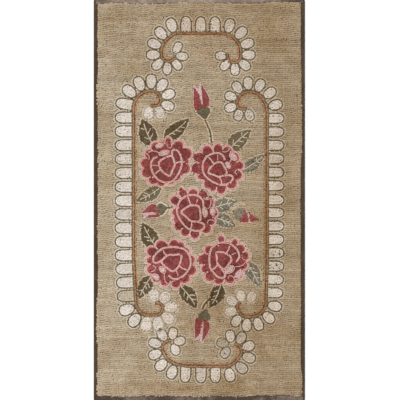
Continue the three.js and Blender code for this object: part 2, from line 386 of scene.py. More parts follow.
def rose_rows(rose):
    """The pink lines of a rose, each with how many rows wide it is."""
    rng = np.random.default_rng(rose.seed)
    cup = smooth_open(CUP) * np.array([rose.cup_deep / 0.6, rose.cup_wide / 0.62])
    heart = smooth_closed(HEART) * rose.heart
    rows = [(rose_ring(rose, 0.04), 2)]
    for line, wide in ((cup, 2), (np.vstack([heart, heart[:1]]), 2), *SHORT_LINES):
        rows.append((moved(line, rose.x, rose.y, rose.size, rose.opening), wide))
    # a short line runs in from each dip between two outer petals
    theta, out = rose_outline(rose)
    petals = np.sort([petal[0] % 360 for petal in rose.petals])
    for low, high in zip(petals, np.roll(petals, -1)):
        between = np.linspace(low, low + (high - low) % 360, 15)[2:-2] % 360
        reach = np.interp(between, theta, out)
        dip = math.radians(between[reach.argmin()])
        shares = np.array([[reach.min()], [reach.min() - rng.uniform(0.06, 0.20)]])
        line = np.array([math.cos(dip), math.sin(dip)]) * rose.size * shares
        rows.append((line + (rose.x, rose.y), 1.5))
    return rows


def rose_shells(rose):
    """The outlines of a rose's pale spots."""
    for oval in (Oval(*row) for row in rose.ovals):
        a = math.radians(oval.angle)
        middle = (rose.x + oval.distance * rose.size * math.cos(a),
                  rose.y + oval.distance * rose.size * math.sin(a))
        shape = arc(0, 0, oval.half_width, oval.half_length, 0, 360)
        yield moved(shape, *middle, rose.size, oval.angle)


LEAF_TEETH = 5
TOOTH_DEPTH = 0.16
VEIN_STARTS = (0.24, 0.42, 0.60)
VEIN_LEFT_OUT = 0.2


def leaf_rows(leaf):
    """The toothed outline of a leaf, and its midrib and side veins, as lines on the rug."""
    rng = np.random.default_rng(leaf.seed)
    length = math.hypot(leaf.tip_x - leaf.base_x, leaf.tip_y - leaf.base_y)
    heading = math.degrees(math.atan2(leaf.tip_y - leaf.base_y, leaf.tip_x - leaf.base_x))
    t = np.linspace(0, 1, 60)

    def middle(t):
        return leaf.bend / length * np.sin(math.pi * np.asarray(t))

    def half_width(t, shift):
        body = np.sin(math.pi * np.asarray(t) ** 0.72) ** 0.85
        teeth = 1 - TOOTH_DEPTH * ((np.asarray(t) * LEAF_TEETH + shift) % 1)
        return leaf.width / length * body * teeth

    shifts = rng.uniform(0, 1, 2)
    upper = np.stack([t, middle(t) + half_width(t, shifts[0])], axis=1)
    lower = np.stack([t, middle(t) - half_width(t, shifts[1])], axis=1)[::-1]
    outline = np.vstack([upper, lower])
    rib = np.linspace(0.04, rng.uniform(0.8, 0.9), 20)
    veins = [np.stack([rib, middle(rib)], axis=1)]
    for start in VEIN_STARTS:
        for side, shift in zip((1, -1), shifts):
            if rng.random() < VEIN_LEFT_OUT:
                continue
            root = start + rng.uniform(-0.03, 0.03)
            run = rng.uniform(0.45, 0.7) * float(half_width(root, shift))
            veins.append([(root, float(middle(root))),
                          (root + run * 0.9, float(middle(root)) + side * run)])
    return (moved(outline, leaf.base_x, leaf.base_y, length, heading),
            [moved(vein, leaf.base_x, leaf.base_y, length, heading) for vein in veins])


# Half-open and closed buds as unit shapes: along their length, and across it in half widths.
BUD_NARROW = ((-0.02, 0.85), (0.09, 1.0), (0.44, 0.95), (0.90, 0.80), (0.86, 0.66),
              (0.65, 0.22), (0.42, 0.07), (0.2, 0.04), (0.05, 0.0))
BUD_BROAD = ((0.05, 0.0), (0.2, -0.13), (0.42, -0.2), (0.65, -0.21), (0.86, -0.15),
             (1.0, -0.30), (0.82, -0.55), (0.6, -0.87), (0.38, -1.08), (0.12, -0.92),
             (0.08, -0.6))
BUD_GAP = ((0.2, 0.04), (0.42, 0.07), (0.65, 0.22), (0.86, 0.66), (0.95, 0.95), (0.93, 0.5),
           (0.88, 0.2), (1.05, -0.1), (1.03, -0.32), (0.86, -0.15), (0.65, -0.21),
           (0.42, -0.2), (0.2, -0.13))
CALYX_SHAPE = ((0.2, -0.2), (-0.1, 0.68), (-0.5, 0.62), (-1.0, 0.12), (-1.3, -0.25),
               (-1.15, -0.48), (-0.4, -1.0), (0.0, -0.95), (0.27, -0.5))
CLOSED_PETAL = ((-0.02, -1.0), (0.2, -0.86), (0.42, -0.65), (0.7, -0.32), (1.0, 0.0),
                (0.78, 0.48), (0.53, 0.79), (0.2, 0.95), (0.04, 1.0), (0.0, 0.0))
CLOSED_GAP = ((0.10, -0.98), (0.24, -0.62), (0.33, -0.2), (0.47, 0.72), (0.57, 0.68),
              (0.43, -0.22), (0.34, -0.6), (0.22, -0.94))
Form = namedtuple("Form", "petals gap rims")
BUD_FORMS = {
    "open": Form((BUD_NARROW, BUD_BROAD), BUD_GAP, (BUD_NARROW[:4], BUD_BROAD[5:10])),
    "closed": Form((CLOSED_PETAL,), CLOSED_GAP, (CLOSED_PETAL[5:9],)),
}


def bud_place(bud, points):
    """Points of a unit bud, set in place on the rug, with its gap leaning to one side."""
    points = np.array(points)
    lean = bud.lean * np.clip(1 - points[:, 1] ** 2, 0, 1) * (points[:, 0] > 0.1)
    points = np.stack([points[:, 0] * bud.length,
                       (points[:, 1] + lean) * bud.hand * bud.width], axis=1)
    return moved(points, bud.x, bud.y, 1, bud.heading)


def bud_shapes(bud):
    """The outlines of a bud's petals, of the gap between them and of its calyx."""
    form = BUD_FORMS[bud.form]
    calyx = smooth_closed(CALYX_SHAPE, 60) * np.array([bud.width / bud.length, 1])
    shapes = [(BUD, petal) for petal in form.petals] + [(SHELL, form.gap), (CALYX, calyx)]
    return [(region, bud_place(bud, shape)) for region, shape in shapes]


# Loops are turned by whole steps, in degrees, where their cells are counted.
MASK_TURN = 7.5
MASK_TURNS = 24


class Pile:
    """The loops in the order in which they are hooked, and how much of the cloth is taken."""

    def __init__(self, half_width, half_length, free, seed):
        self.half_width = half_width
        self.half_length = half_length
        self.taken = ~free
        self.region = np.where(free, GROUND, TAPE).astype(np.int8)
        self.loops = {name: [] for name in STRANDS}
        self.rng = np.random.default_rng(seed)
        self.masks = {}
        self.wool = np.full(free.shape, -1, np.int8)

    def cells(self, points):
        """The row and column of the cloth's cells, of one millimetre, under some points."""
        column = np.floor(points[:, 0] + self.half_width).astype(int)
        row = np.floor(points[:, 1] + self.half_length).astype(int)
        return (np.clip(row, 0, self.region.shape[0] - 1),
                np.clip(column, 0, self.region.shape[1] - 1))

    def paint(self, outline, region, over=None):
        """Gives the inside of an outline to a region, where it isn't tape."""
        low = np.floor(outline.min(axis=0)).astype(int)
        high = np.ceil(outline.max(axis=0)).astype(int)
        xs, ys = (np.arange(low[i], high[i] + 1) + 0.5 for i in range(2))
        inside = np.zeros((len(ys), len(xs)), bool)
        for (x0, y0), (x1, y1) in zip(outline, np.roll(outline, -1, axis=0)):
            crosses = (y0 <= ys) != (y1 <= ys)
            if crosses.any():
                at = x0 + (ys[crosses] - y0) * (x1 - x0) / (y1 - y0)
                inside[crosses] ^= xs[None, :] > at[:, None]
        row, column = np.nonzero(inside)
        row = row + int(low[1] + self.half_length)
        column = column + int(low[0] + self.half_width)
        kept = ((row >= 0) & (row < self.region.shape[0])
                & (column >= 0) & (column < self.region.shape[1]))
        row, column = row[kept], column[kept]
        allowed = self.region[row, column] != TAPE
        if over is not None:
            allowed &= np.isin(self.region[row, column], over)
        self.region[row[allowed], column[allowed]] = region

    def mask(self, angle, length, width):
        """The cells under a loop that is turned by an angle, and how far out they reach."""
        turns = round(math.degrees(angle) / MASK_TURN) % MASK_TURNS
        key = (turns, round(2 * length), round(2 * width))
        if key not in self.masks:
            turn = math.radians(turns * MASK_TURN)
            half_length, half_width = key[1] / 4, key[2] / 4
            reach = math.ceil(math.hypot(half_length, half_width))
            y, x = np.mgrid[-reach : reach + 1, -reach : reach + 1]
            u = (x * math.cos(turn) + y * math.sin(turn)) / (half_length + 0.2)
            v = (y * math.cos(turn) - x * math.sin(turn)) / (half_width + 0.2)
            self.masks[key] = (np.abs(u) ** 3 + np.abs(v) ** 3 <= 1, reach)
        return self.masks[key]

    def claim(self, x, y, angle, length, width, most, wool):
        """Takes the cells under a loop, or refuses where too many are taken already."""
        mask, reach = self.mask(angle, length, width)
        row = math.floor(y + self.half_length) - reach
        column = math.floor(x + self.half_width) - reach
        window = (slice(row, row + 2 * reach + 1), slice(column, column + 2 * reach + 1))
        patch = self.taken[window]
        if patch.shape != mask.shape:
            return False
        if np.count_nonzero(patch & mask) > most * np.count_nonzero(mask):
            return False
        patch |= mask
        self.wool[window][mask] = list(STRANDS).index(wool)
        return True

    def hook(self, line, wool, only=None, shade=0.5, spread=0.12, most=0.34, wide=1.0):
        """Hooks one row of loops along a line, where the regions in only are, if it's given."""
        strand = STRANDS[wool]
        line = np.asarray(line, float)
        length = along(line)
        count = loop_count(line, wool)
        if count < 1:
            return
        at = (np.arange(count) + 0.5) * length[-1] / count
        at += self.rng.normal(0, LOOP_SHIFT * strand.loop, count)

        def place(distance):
            return np.stack([np.interp(distance, length, line[:, i]) for i in range(2)], axis=1)

        middle = place(at)
        ahead = place(at + 1.5) - place(at - 1.5)
        angle = np.arctan2(ahead[:, 1], ahead[:, 0])
        drift = self.rng.normal(0, LOOP_DRIFT, count)
        middle += np.stack([-np.sin(angle), np.cos(angle)], axis=1) * drift[:, None]
        wanted = np.ones(count, bool)
        if only is not None:
            wanted = np.isin(self.region[self.cells(middle)], only)
        shades = np.broadcast_to(shade, count) + self.rng.normal(0, spread, count)
        long, across = strand.loop * LOOP_OVERLAP, strand.row * wide
        for n in np.nonzero(wanted)[0]:
            x, y = middle[n]
            if self.claim(x, y, angle[n], long, across, most, wool):
                self.loops[wool].append((x, y, angle[n], long, across, shades[n]))


def loop_count(line, wool):
    """How many loops of a wool one row along a line has."""
    return int(round(along(line)[-1] / STRANDS[wool].loop))


def side_by_side(x, y, run, low, high, places):
    """Straight lines beside each other, from low to high along a direction through (x, y)."""
    side = np.array([-run[1], run[0]])
    for place in places:
        yield np.array([x, y]) + np.array([[low], [high]]) * run + side * place


def offset(line, distance):
    """A line beside another, at a distance to the left of it."""
    return line + normals(line) * distance


def lobe(shape, grown=0.0):
    """The edge of a scallop: an arch that is open at its foot, or a round drop in a curl."""
    half_length, half_width = shape.half_length + grown, shape.half_width + grown
    arched = shape.share < 0.05
    t = np.radians(np.linspace(-90, 90, 41) if arched else np.linspace(0, 360, 61))
    blunt = np.sign(np.sin(t)) * np.abs(np.sin(t)) ** (0.78 if arched else 0.85)
    if arched:
        foot = -shape.half_length - 1.0
        u = np.concatenate([[foot], half_length * (0.98 * np.cos(t) + 0.02), [foot]])
        v = np.concatenate([[-half_width], half_width * blunt, [half_width]])
    else:
        u = half_length * np.cos(t)
        v = half_width * blunt * (1.13 - 0.12 * (1 - np.cos(t)))
    points = np.stack([u, v], axis=1)
    return moved(points, shape.x, shape.y, 1, math.degrees(shape.heading))


def hook_roses(pile):
    """The pale spots and pink lines of each rose first, then its petals round them."""
    row = STRANDS["pink"].row
    for rose in ROSES:
        pile.paint(rose_ring(rose, 0.025), ROSE, over=(GROUND, LEAF_DARK, LEAF_GREY))
    for rose in ROSES:
        for shell in rose_shells(rose):
            pile.paint(shell, SHELL)
            middle = shell.mean(axis=0)
            for share, wool in ((1.0, "pink"), (0.55, "shell"), (0.15, "shell")):
                pile.hook((shell - middle) * share + middle, wool, most=0.5)
        for line, wide in rose_rows(rose):
            sides, wide = ((row / 2, -row / 2), 1.0) if wide == 2 else ((0.0,), wide)
            for side in sides:
                pile.hook(offset(line, side), "pink", most=0.45, spread=0.16, wide=wide)
        pile.hook(rose_ring(rose, 0.115), "rose", only=(ROSE,), shade=1.0, spread=0.15, most=0.45)
        # petals are hooked round and round, each in its own shade
        petals = len(rose.petals)
        shades = np.random.default_rng(rose.seed + 100).uniform(0.2, 0.75, petals)
        for radius in np.arange(3.0, rose.size * 1.1, STRANDS["rose"].row):
            t = np.radians(np.arange(0, 361, max(2.0, 120 / radius)))
            line = np.stack([rose.x + radius * np.cos(t), rose.y + radius * np.sin(t)], axis=1)
            count = loop_count(line, "rose")
            place = (np.arange(count) + 0.5) / count
            shade = shades[(place * petals + 0.5).astype(int) % petals]
            pile.hook(line, "rose", only=(ROSE,), shade=shade, most=0.4)


def hook_leaves(pile):
    """The veins of each leaf first, then straight rows from its foot to its tip."""
    plans = [(leaf, *leaf_rows(leaf)) for leaf in LEAVES]
    for leaf, outline, _ in plans:
        pile.paint(outline, leaf.region, over=(GROUND,))
    for leaf, _, veins in plans:
        for vein in veins:
            pile.hook(vein, "vein", only=(leaf.region,), most=0.5)
    for leaf in LEAVES:
        rng = np.random.default_rng(leaf.seed + 40)
        faded = leaf.seed in FADED_LEAVES
        wool = "outline" if faded else REGION_WOOL[leaf.region]
        run = np.array([leaf.tip_x - leaf.base_x, leaf.tip_y - leaf.base_y])
        length = math.hypot(*run)
        places = np.arange(-leaf.width, leaf.width + 1, STRANDS[wool].row)
        for line in side_by_side(leaf.base_x, leaf.base_y, run / length, -5, length + 5, places):
            shade = rng.uniform(0.3, 0.7) + (0.45 if faded else 0.0)
            pile.hook(line, wool, only=(leaf.region,), shade=shade, spread=0.2, most=0.4)


def hook_buds(pile):
    """The stems, rims, gaps, calyxes and petals of the buds."""
    for line in SEPALS:
        pile.hook(smooth_open(line, 20), "vein", shade=0.3, spread=0.2, most=0.6, wide=1.3)
    for bud in BUDS:
        for region, shape in bud_shapes(bud):
            pile.paint(shape, region, over=(GROUND, LEAF_DARK, LEAF_GREY, BUD))
        pile.hook(smooth_open(bud.stem, 30), "stem", most=0.5, shade=0.2, wide=1.25)
    for bud in BUDS:
        for points in BUD_FORMS[bud.form].rims:
            pile.hook(bud_place(bud, np.array(points) * (1, 1.05)), "pink", most=0.5, shade=0.3)
        closed = bud.form == "closed"
        heading = math.radians(bud.heading)
        run = np.array([math.cos(heading), math.sin(heading)])
        places = np.arange(-1.1 * bud.width, 1.1 * bud.width, BUD_ROW)
        for line in side_by_side(bud.x, bud.y, run, -2 * bud.width, bud.length + 4, places):
            pile.hook(line, "shell", only=(SHELL,), most=0.5)
            pile.hook(line, "leaf_grey" if closed else "stem", only=(CALYX,), shade=0.7,
                      most=0.45)
            pile.hook(line, "bud", only=(BUD,), shade=1.0 if closed else 0.5, spread=0.25,
                      most=0.45)


# The rows of a scroll, from its rust row outwards.
ScrollRow = namedtuple("ScrollRow", "out wool shade")
SCROLL_BAND = (
    ScrollRow(0, "rust", 0.5),
    ScrollRow(4.4, "ochre", 0.3),
    ScrollRow(8.4, "outline", 0.9),
    ScrollRow(-4.4, "ochre", 0.6),
)
# Scallops that have turned beige or patchy: place, shade and the wools that show in them.
Worn = namedtuple("Worn", "x y shade wools")
WORN_REACH = 20
BEIGE = ("contour",)
MIXED = ("ivory", "contour")
PATCHY = ("ivory", "ivory", "ivory", "ivory", "contour", "contour", "outline")
WORN = (
    Worn(-285, -350, 0.4, BEIGE),
    Worn(285, -192, 0.5, PATCHY),
    Worn(285, -235, 0.5, PATCHY),
    Worn(88, -506, 0.1, BEIGE),
    Worn(95, -542, 0.2, PATCHY),
    Worn(161, -490, 0.2, MIXED),
    Worn(190, -580, 0.4, MIXED),
    Worn(148, -620, 0.2, MIXED),
    Worn(139, 308, 0.4, MIXED),
    Worn(178, 308, 0.3, MIXED),
)


def hook_frame(pile):
    """The scroll rows, and the outlines, the insides and the light edges of the scallops."""
    for arm in ARMS.values():
        line = turtle(arm, arm.legs)[0]
        for row in SCROLL_BAND:
            pile.hook(offset(line, -arm.hand * (arm.rust + row.out)), row.wool, most=0.5,
                      shade=row.shade, spread=0.4)
    shapes, looks = [], []
    for arm in ARMS.values():
        for shape in scallops(arm):
            pale = 0.4 + 0.5 * shape.share + pile.rng.normal(0, 0.1)
            faint = shape.share > arm.faint
            shapes.append(shape)
            looks.append(("contour", 0.0, 0.7) if faint else ("outline", pale, 1.0))
    for shape, (wool, shade, wide) in zip(shapes, looks):
        pile.hook(lobe(shape, -1.9), wool, most=0.45, shade=shade, wide=wide)
        pile.paint(lobe(shape, -3), SCALLOP)
    for shape in shapes:
        hook_scallop(pile, shape)
    for shape in shapes:
        pile.hook(lobe(shape, 3.1), "contour", only=(GROUND,), most=0.4)


def hook_scallop(pile, shape):
    """The inside of a scallop: a row round it, then straight rows. A worn one mixes its wools."""
    run = np.array([math.cos(shape.heading), math.sin(shape.heading)])
    side = np.array([-run[1], run[0]])
    shade, wools, cuts = pile.rng.normal(0.6, 0.08), ("ivory",), 2
    for worn in WORN:
        if math.hypot(shape.x - worn.x, shape.y - worn.y) < WORN_REACH:
            shade, wools, cuts = worn.shade, worn.wools, 12
    pile.hook(lobe(shape, -6.6), wools[0], only=(SCALLOP,), most=0.5, shade=shade, wide=1.1)
    wide = 2 * (shape.half_width - 9)
    rows = max(1, round(wide / STRANDS["ivory"].row))
    fitted = 1.1 * wide / rows / STRANDS["ivory"].row
    ends = np.linspace(-1, 1, cuts)
    for n in range(rows):
        middle = np.array([shape.x, shape.y]) + side * ((n + 0.5) / rows - 0.5) * wide
        for low, high in zip(ends, ends[1:]):
            line = middle + np.array([[low], [high]]) * run * shape.half_length
            pile.hook(line, str(pile.rng.choice(wools)), only=(SCALLOP,), most=0.55,
                      shade=shade, wide=fitted)


def hook_contours(pile):
    """One row of light wool round each rose, leaf, calyx and stem."""
    rows = [(rose_ring(rose, -3.2 / rose.size), 0.5) for rose in ROSES]
    for leaf in LEAVES:
        outline = leaf_rows(leaf)[0]
        rows.append((outline + normals(np.vstack([outline, outline[:1]]))[:-1] * 3.0, 0.5))
    for bud in BUDS:
        calyx = dict(bud_shapes(bud))[CALYX]
        rows.append((offset(np.vstack([calyx, calyx[:1]]), -3.2), 0.9))
        for side in (-5.6, 5.6):
            rows.append((offset(smooth_open(bud.stem, 30), side), 0.9))
    for line, shade in rows:
        pile.hook(line, "contour", only=(GROUND,), most=0.4, shade=shade)


GROUND_WAVES = 9
WAVE_HEIGHT = 1.05


def hook_ground(pile):
    """Rows across the width that wave a little, in runs of slightly different wool."""
    rng, pitch = pile.rng, STRANDS["ground"].row
    x = np.arange(-pile.half_width, pile.half_width, 3.0)
    across = rng.uniform(28, 95, GROUND_WAVES)
    down = rng.uniform(90, 280, GROUND_WAVES) * rng.choice([-1, 1], GROUND_WAVES)
    phases = rng.uniform(0, 2 * math.pi, GROUND_WAVES)
    calm = 1.0 - 0.5 * np.clip(x / 200, 0, 1)
    for y in np.arange(-pile.half_length - 8 + pitch / 2, pile.half_length + 8, pitch):
        wave = sum(np.sin(2 * math.pi * (x / a + y / d) + phase)
                   for a, d, phase in zip(across, down, phases))
        line = np.stack([x, y + wave * calm * WAVE_HEIGHT], axis=1)
        shade = np.zeros(loop_count(line, "ground"))
        at = 0
        while at < len(shade):
            run = int(rng.uniform(25, 85))
            shade[at : at + run] = 0.5 + rng.normal(0, 0.16)
            at += run
        pile.hook(line, "ground", only=(GROUND,), shade=shade, spread=0.1, most=0.46)


# Passes over what is left bare: the least bare share of a place, and the size of its loop. The
# last is for scallops alone.
Patch = namedtuple("Patch", "bare size regions")
PLACE_CELLS = 25
ANY_WOOL = tuple(REGION_WOOL)
PATCHES = (
    Patch(0.9, 6.0, ANY_WOOL),
    Patch(0.7, 4.8, ANY_WOOL),
    Patch(0.5, 3.8, ANY_WOOL),
    Patch(0.4, 3.6, ANY_WOOL),
    Patch(0.28, 3.4, (SCALLOP,)),
)


def fill_gaps(pile):
    """Small loops where the rows have left the cloth bare."""
    free = (~pile.taken).astype(np.float32)
    total = np.cumsum(np.cumsum(np.pad(free, ((1, 0), (1, 0))), axis=0), axis=1)
    for patch in PATCHES:
        for y in np.arange(-pile.half_length + 2, pile.half_length - 2, 2.0):
            row = int(y + pile.half_length)
            for x in np.arange(-pile.half_width + 2, pile.half_width - 2, 2.0):
                column = int(x + pile.half_width)
                a, b, c, d = row - 2, row + 3, column - 2, column + 3
                if min(a, c) < 0 or b >= total.shape[0] or d >= total.shape[1]:
                    continue
                bare = total[b, d] - total[a, d] - total[b, c] + total[a, c]
                region = int(pile.region[row, column])
                if bare < patch.bare * PLACE_CELLS or region not in patch.regions:
                    continue
                angle, size, wool = pile.rng.uniform(-0.5, 0.5), patch.size, REGION_WOOL[region]
                if pile.claim(x, y, angle, size, size, 0.38, wool):
                    pile.loops[wool].append((x, y, angle, size, size, pile.rng.normal(0.45, 0.12)))


def swell_at(x, y):
    """How far the soft swells of a used rug lift it at a place, in millimetres."""
    total = np.zeros(np.shape(x))
    for swell in SWELLS:
        turn = 2 * math.pi * (x / swell.across + y / swell.along)
        total = total + swell.height * np.sin(turn + swell.phase)
    return total


Edge = namedtuple("Edge", "node along_axis sign half_size")
EDGES = {
    "left": Edge("binding_left", 1, -1, HALF_WIDTH),
    "right": Edge("binding_right", 1, 1, HALF_WIDTH),
    "top": Edge("binding_top", 0, 1, HALF_LENGTH),
    "bottom": Edge("binding_bottom", 0, -1, HALF_LENGTH),
}


def face_widths(edge):
    """Places along an edge, and how wide the face of its tape is there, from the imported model."""
    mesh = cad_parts[edge.node].data
    flat = np.empty(3 * len(mesh.vertices), np.float32)
    mesh.vertices.foreach_get("co", flat)
    points = flat.reshape(-1, 3).astype(float) / MM
    points = points[points[:, 2] > 0.7 * FOLD_HEIGHT]
    at = np.round(points[:, edge.along_axis], 2)
    inset = edge.half_size - edge.sign * points[:, 1 - edge.along_axis]
    places = np.unique(at)
    return places, np.array([inset[at == place].max() for place in places])


FACES = {side: face_widths(edge) for side, edge in EDGES.items()}


# The tapes at the sides are as wide beyond this place, near the corners, as they are at it.
SIDE_REACH = 700


def inset_from_wall(x, y):
    """How far a place lies inside the line up to which the rug is hooked."""
    y_near = np.clip(y, -SIDE_REACH, SIDE_REACH)
    return np.minimum.reduce([
        x + HALF_WIDTH - np.interp(y_near, *FACES["left"]),
        HALF_WIDTH - x - np.interp(y_near, *FACES["right"]),
        HALF_LENGTH - y - np.interp(x, *FACES["top"]),
        y + HALF_LENGTH - np.interp(x, *FACES["bottom"]),
    ]) - TAPE_GAP


def cloth_base(inset):
    """Height of the cloth's underside, which rises over the back of the tape."""
    share = np.clip((inset - HEM_FLAT) / (HEM_REACH - HEM_FLAT), 0, 1)
    return HEM_BASE + (CLOTH_LIFT - HEM_BASE) * share


def corner_inset(at, half_size):
    """How far a rounded corner draws an edge in, at a place along it."""
    past = np.clip(np.abs(at) - (half_size - CORNER_RADIUS), 0, CORNER_RADIUS)
    return CORNER_RADIUS - np.sqrt(CORNER_RADIUS**2 - past**2)


def add_object(name, data):
    piece = bpy.data.objects.new(name, data)
    bpy.context.scene.collection.objects.link(piece)
    return piece


def smooth_mesh(name, points, faces):
    """A mesh object from rows of points in millimetres and rows of faces with one corner count."""
    mesh = bpy.data.meshes.new(name)
    count, corners = faces.shape
    mesh.vertices.add(len(points))
    mesh.vertices.foreach_set("co", (points * MM).astype(np.float32).ravel())
    mesh.loops.add(count * corners)
    mesh.loops.foreach_set("vertex_index", faces.astype(np.int32).ravel())
    mesh.polygons.add(count)
    mesh.polygons.foreach_set("loop_start", (np.arange(count) * corners).astype(np.int32))
    mesh.update(calc_edges=True)
    mesh.polygons.foreach_set("use_smooth", np.ones(count, bool))
    piece = add_object(name, mesh)
    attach(piece, "root")
    return piece


FIELDS = {"FLOAT": "value", "FLOAT_COLOR": "color", "FLOAT_VECTOR": "vector"}


def set_values(piece, name, kind, domain, values):
    """Keeps numbers or colours on a mesh, for its material to read."""
    layer = piece.data.attributes.new(name, kind, domain)
    layer.data.foreach_set(FIELDS[kind], np.asarray(values, np.float32).ravel())


def set_flat_places(piece, places):
    """Gives each face corner its place on a flat sheet, the UV map OFBake."""
    layer = piece.data.uv_layers.new(name="OFBake")
    layer.data.foreach_set("uv", np.asarray(places, np.float32).ravel())


# A loop as a unit shape: a foot on the cloth, a wide shoulder and a crown. The rings have four,
# six and four points, and neighbouring rings are joined by triangles.
CORNERS = ((1, 1), (-1, 1), (-1, -1), (1, -1))
FOOT = [(c * 0.80, s * 0.80, 0.0) for c, s in CORNERS]
SHOULDER = [(1.14, 0.80, 0.76), (0.0, 1.20, 0.80), (-1.14, 0.80, 0.76),
            (-1.14, -0.80, 0.76), (0.0, -1.20, 0.80), (1.14, -0.80, 0.76)]
CROWN = [(c * 0.62, s * 0.50, 1.0) for c, s in CORNERS]
LOOP_POINTS = np.array(FOOT + SHOULDER + CROWN)
POINT_COUNT = len(LOOP_POINTS)
RING_JOINS = ((0, 4, 5), (0, 1, 5), (1, 5, 6), (1, 6, 7), (1, 2, 7),
              (2, 7, 8), (2, 3, 8), (3, 8, 9), (3, 9, 4), (3, 0, 4))
LOOP_CAPS = ((0, 1, 2), (0, 2, 3), (10, 11, 12), (10, 12, 13))


def loop_faces():
    """The triangles of one loop, each with its outer side out; the foot's two come first."""
    crown = [tuple(n + 10 if n < 4 else n for n in join) for join in RING_JOINS]
    middle = LOOP_POINTS.mean(axis=0)
    turned = []
    for a, b, c in (*LOOP_CAPS[:2], *RING_JOINS, *crown, *LOOP_CAPS[2:]):
        pa, pb, pc = LOOP_POINTS[[a, b, c]]
        out = np.dot(np.cross(pb - pa, pc - pa), (pa + pb + pc) / 3 - middle) > 0
        turned.append((a, b, c) if out else (a, c, b))
    return np.array(turned)


LOOP_FACES = loop_faces()
# Where the points of a loop lie on the flat sheet, as seen from above.
FLAT_POINTS = np.array(
    [(x / 0.80 * 0.45, y / 0.80 * 0.45) for x, y, z in FOOT]
    + [(x * 0.32, y * 0.32) for x, y, z in SHOULDER]
    + [(x * 0.28, y * 0.30) for x, y, z in CROWN]
)


def flat_places(count):
    """Places on the flat sheet: a square for each loop, with its foot in a corner of it."""
    cells = math.ceil(math.sqrt(count))
    places = 0.44 + FLAT_POINTS[LOOP_FACES] * 0.84 / 0.92
    places[:2] = 0.915 + FLAT_POINTS[LOOP_FACES[:2]] * 0.12
    number = np.arange(count)
    origin = np.stack([number % cells, number // cells], axis=1)
    return (origin[:, None, None, :] + places[None]) / cells


# How much single loops differ: in the places of their points, their lean and their turn.
POINT_SPREAD = np.array([0.05, 0.05, 0.03])
LEAN_SPREAD = 0.11
TURN_SPREAD = 0.10
SUNKEN_BY = (0.4, 1.2)
FOOT_SINK = 0.2


def hooked_piece(name, rows, strand, sizes, seed):
    """Makes one mesh of all the loops in a list of rows, on top of the cloth."""
    rng = np.random.default_rng(seed)
    count = len(rows)
    if count == 0:
        raise RuntimeError(f"{name} has no loops")
    x, y, angle, long, wide, shade = np.array(rows).T
    edge = np.minimum.reduce([x + HALF_WIDTH, HALF_WIDTH - x, y + HALF_LENGTH, HALF_LENGTH - y])
    foot = cloth_base(edge) + CLOTH_THICKNESS - FOOT_SINK
    rise = np.clip(inset_from_wall(x, y) / PILE_SHOULDER, 0, 1)
    top = sizes.edge_height + (sizes.pile_height - sizes.edge_height) * rise
    top = top * strand.height + swell_at(x, y) * rise
    height = top - foot + rng.normal(0, sizes.unevenness, count)
    low = rng.random(count) < sizes.sunken / 100
    height[low] -= rng.uniform(*SUNKEN_BY, low.sum())
    unit = LOOP_POINTS[None] + rng.normal(0, 1, (count, POINT_COUNT, 3)) * POINT_SPREAD
    unit[:, :4, 2] = 0
    unit[:, :, :2] += rng.normal(0, LEAN_SPREAD, (count, 1, 2)) * unit[:, :, 2:] ** 2
    place = unit * np.stack([long / 2, wide / 2, height], axis=1)[:, None]
    turn = angle + rng.normal(0, TURN_SPREAD, count)
    c, s = np.cos(turn)[:, None], np.sin(turn)[:, None]
    u, v, up = np.moveaxis(place, 2, 0)
    points = np.stack([x[:, None] + c * u - s * v, y[:, None] + s * u + c * v,
                       foot[:, None] + up], axis=2)
    faces = (np.arange(count)[:, None, None] * POINT_COUNT + LOOP_FACES[None]).reshape(-1, 3)
    piece = smooth_mesh(name, points.reshape(-1, 3), faces)
    # shade, height and chance, for the material; the height sets the painted shade at each loop's
    # root, deeper on low loops
    wool = np.ones((count, POINT_COUNT, 4))
    wool[:, :, 0] = np.clip(shade, 0, 1)[:, None]
    wool[:, :, 1] = LOOP_POINTS[None, :, 2] * np.clip(height / 6, 0.3, 1)[:, None]
    wool[:, :, 2] = rng.random(count)[:, None]
    set_values(piece, "wool", "FLOAT_COLOR", "POINT", wool)
    set_values(piece, "soil", "FLOAT", "POINT", np.repeat(soil_at(x, y), POINT_COUNT))
    set_values(piece, "strand", "FLOAT_VECTOR", "POINT", place)
    set_flat_places(piece, flat_places(count))
    return piece


# Old brown stains, as places on the rug in millimetres, half sizes, and how strong each is.
Stain = namedtuple("Stain", "x y half_width half_length strength")
STAINS = (
    Stain(-350, 652, 40, 12, 0.5),
    Stain(-348, 530, 36, 18, 0.6),
    Stain(-150, 660, 130, 12, 0.3),
    Stain(0, -680, 400, 22, 0.8),
    Stain(50, 640, 190, 50, 0.55),
    Stain(170, -570, 90, 80, 0.35),
    Stain(40, -410, 130, 120, 0.55),
    Stain(285, 190, 45, 200, 0.3),
    Stain(260, 690, 110, 22, 0.35),
    Stain(-330, 690, 80, 20, 0.2),
    Stain(-100, -370, 60, 50, 0.3),
    Stain(0, 560, 260, 60, 0.25),
    Stain(190, -345, 70, 45, 0.35),
    Stain(298, 145, 45, 80, 0.35),
    Stain(140, 688, 110, 20, 0.35),
    Stain(-190, -70, 90, 60, 0.3),
    Stain(-130, 250, 110, 60, 0.4),
    Stain(215, -420, 60, 60, 0.25),
    Stain(-330, -560, 50, 60, 0.2),
    Stain(-90, -470, 90, 40, 0.25),
    Stain(170, 380, 60, 50, 0.2),
    Stain(150, -640, 180, 20, 0.3),
)


def soil_at(x, y):
    """How soiled a place is, from 0 to 1."""
    total = np.zeros(np.shape(x))
    for stain in STAINS:
        off = ((x - stain.x) / stain.half_width) ** 2 + ((y - stain.y) / stain.half_length) ** 2
        total = total + stain.strength * np.exp(-off)
    return np.clip(total, 0, 1)


CLOTH_CELL = 8.6
HEM_LINES = (FOLD_RADIUS, 6, 10, 14, 18, 22, 25.5)


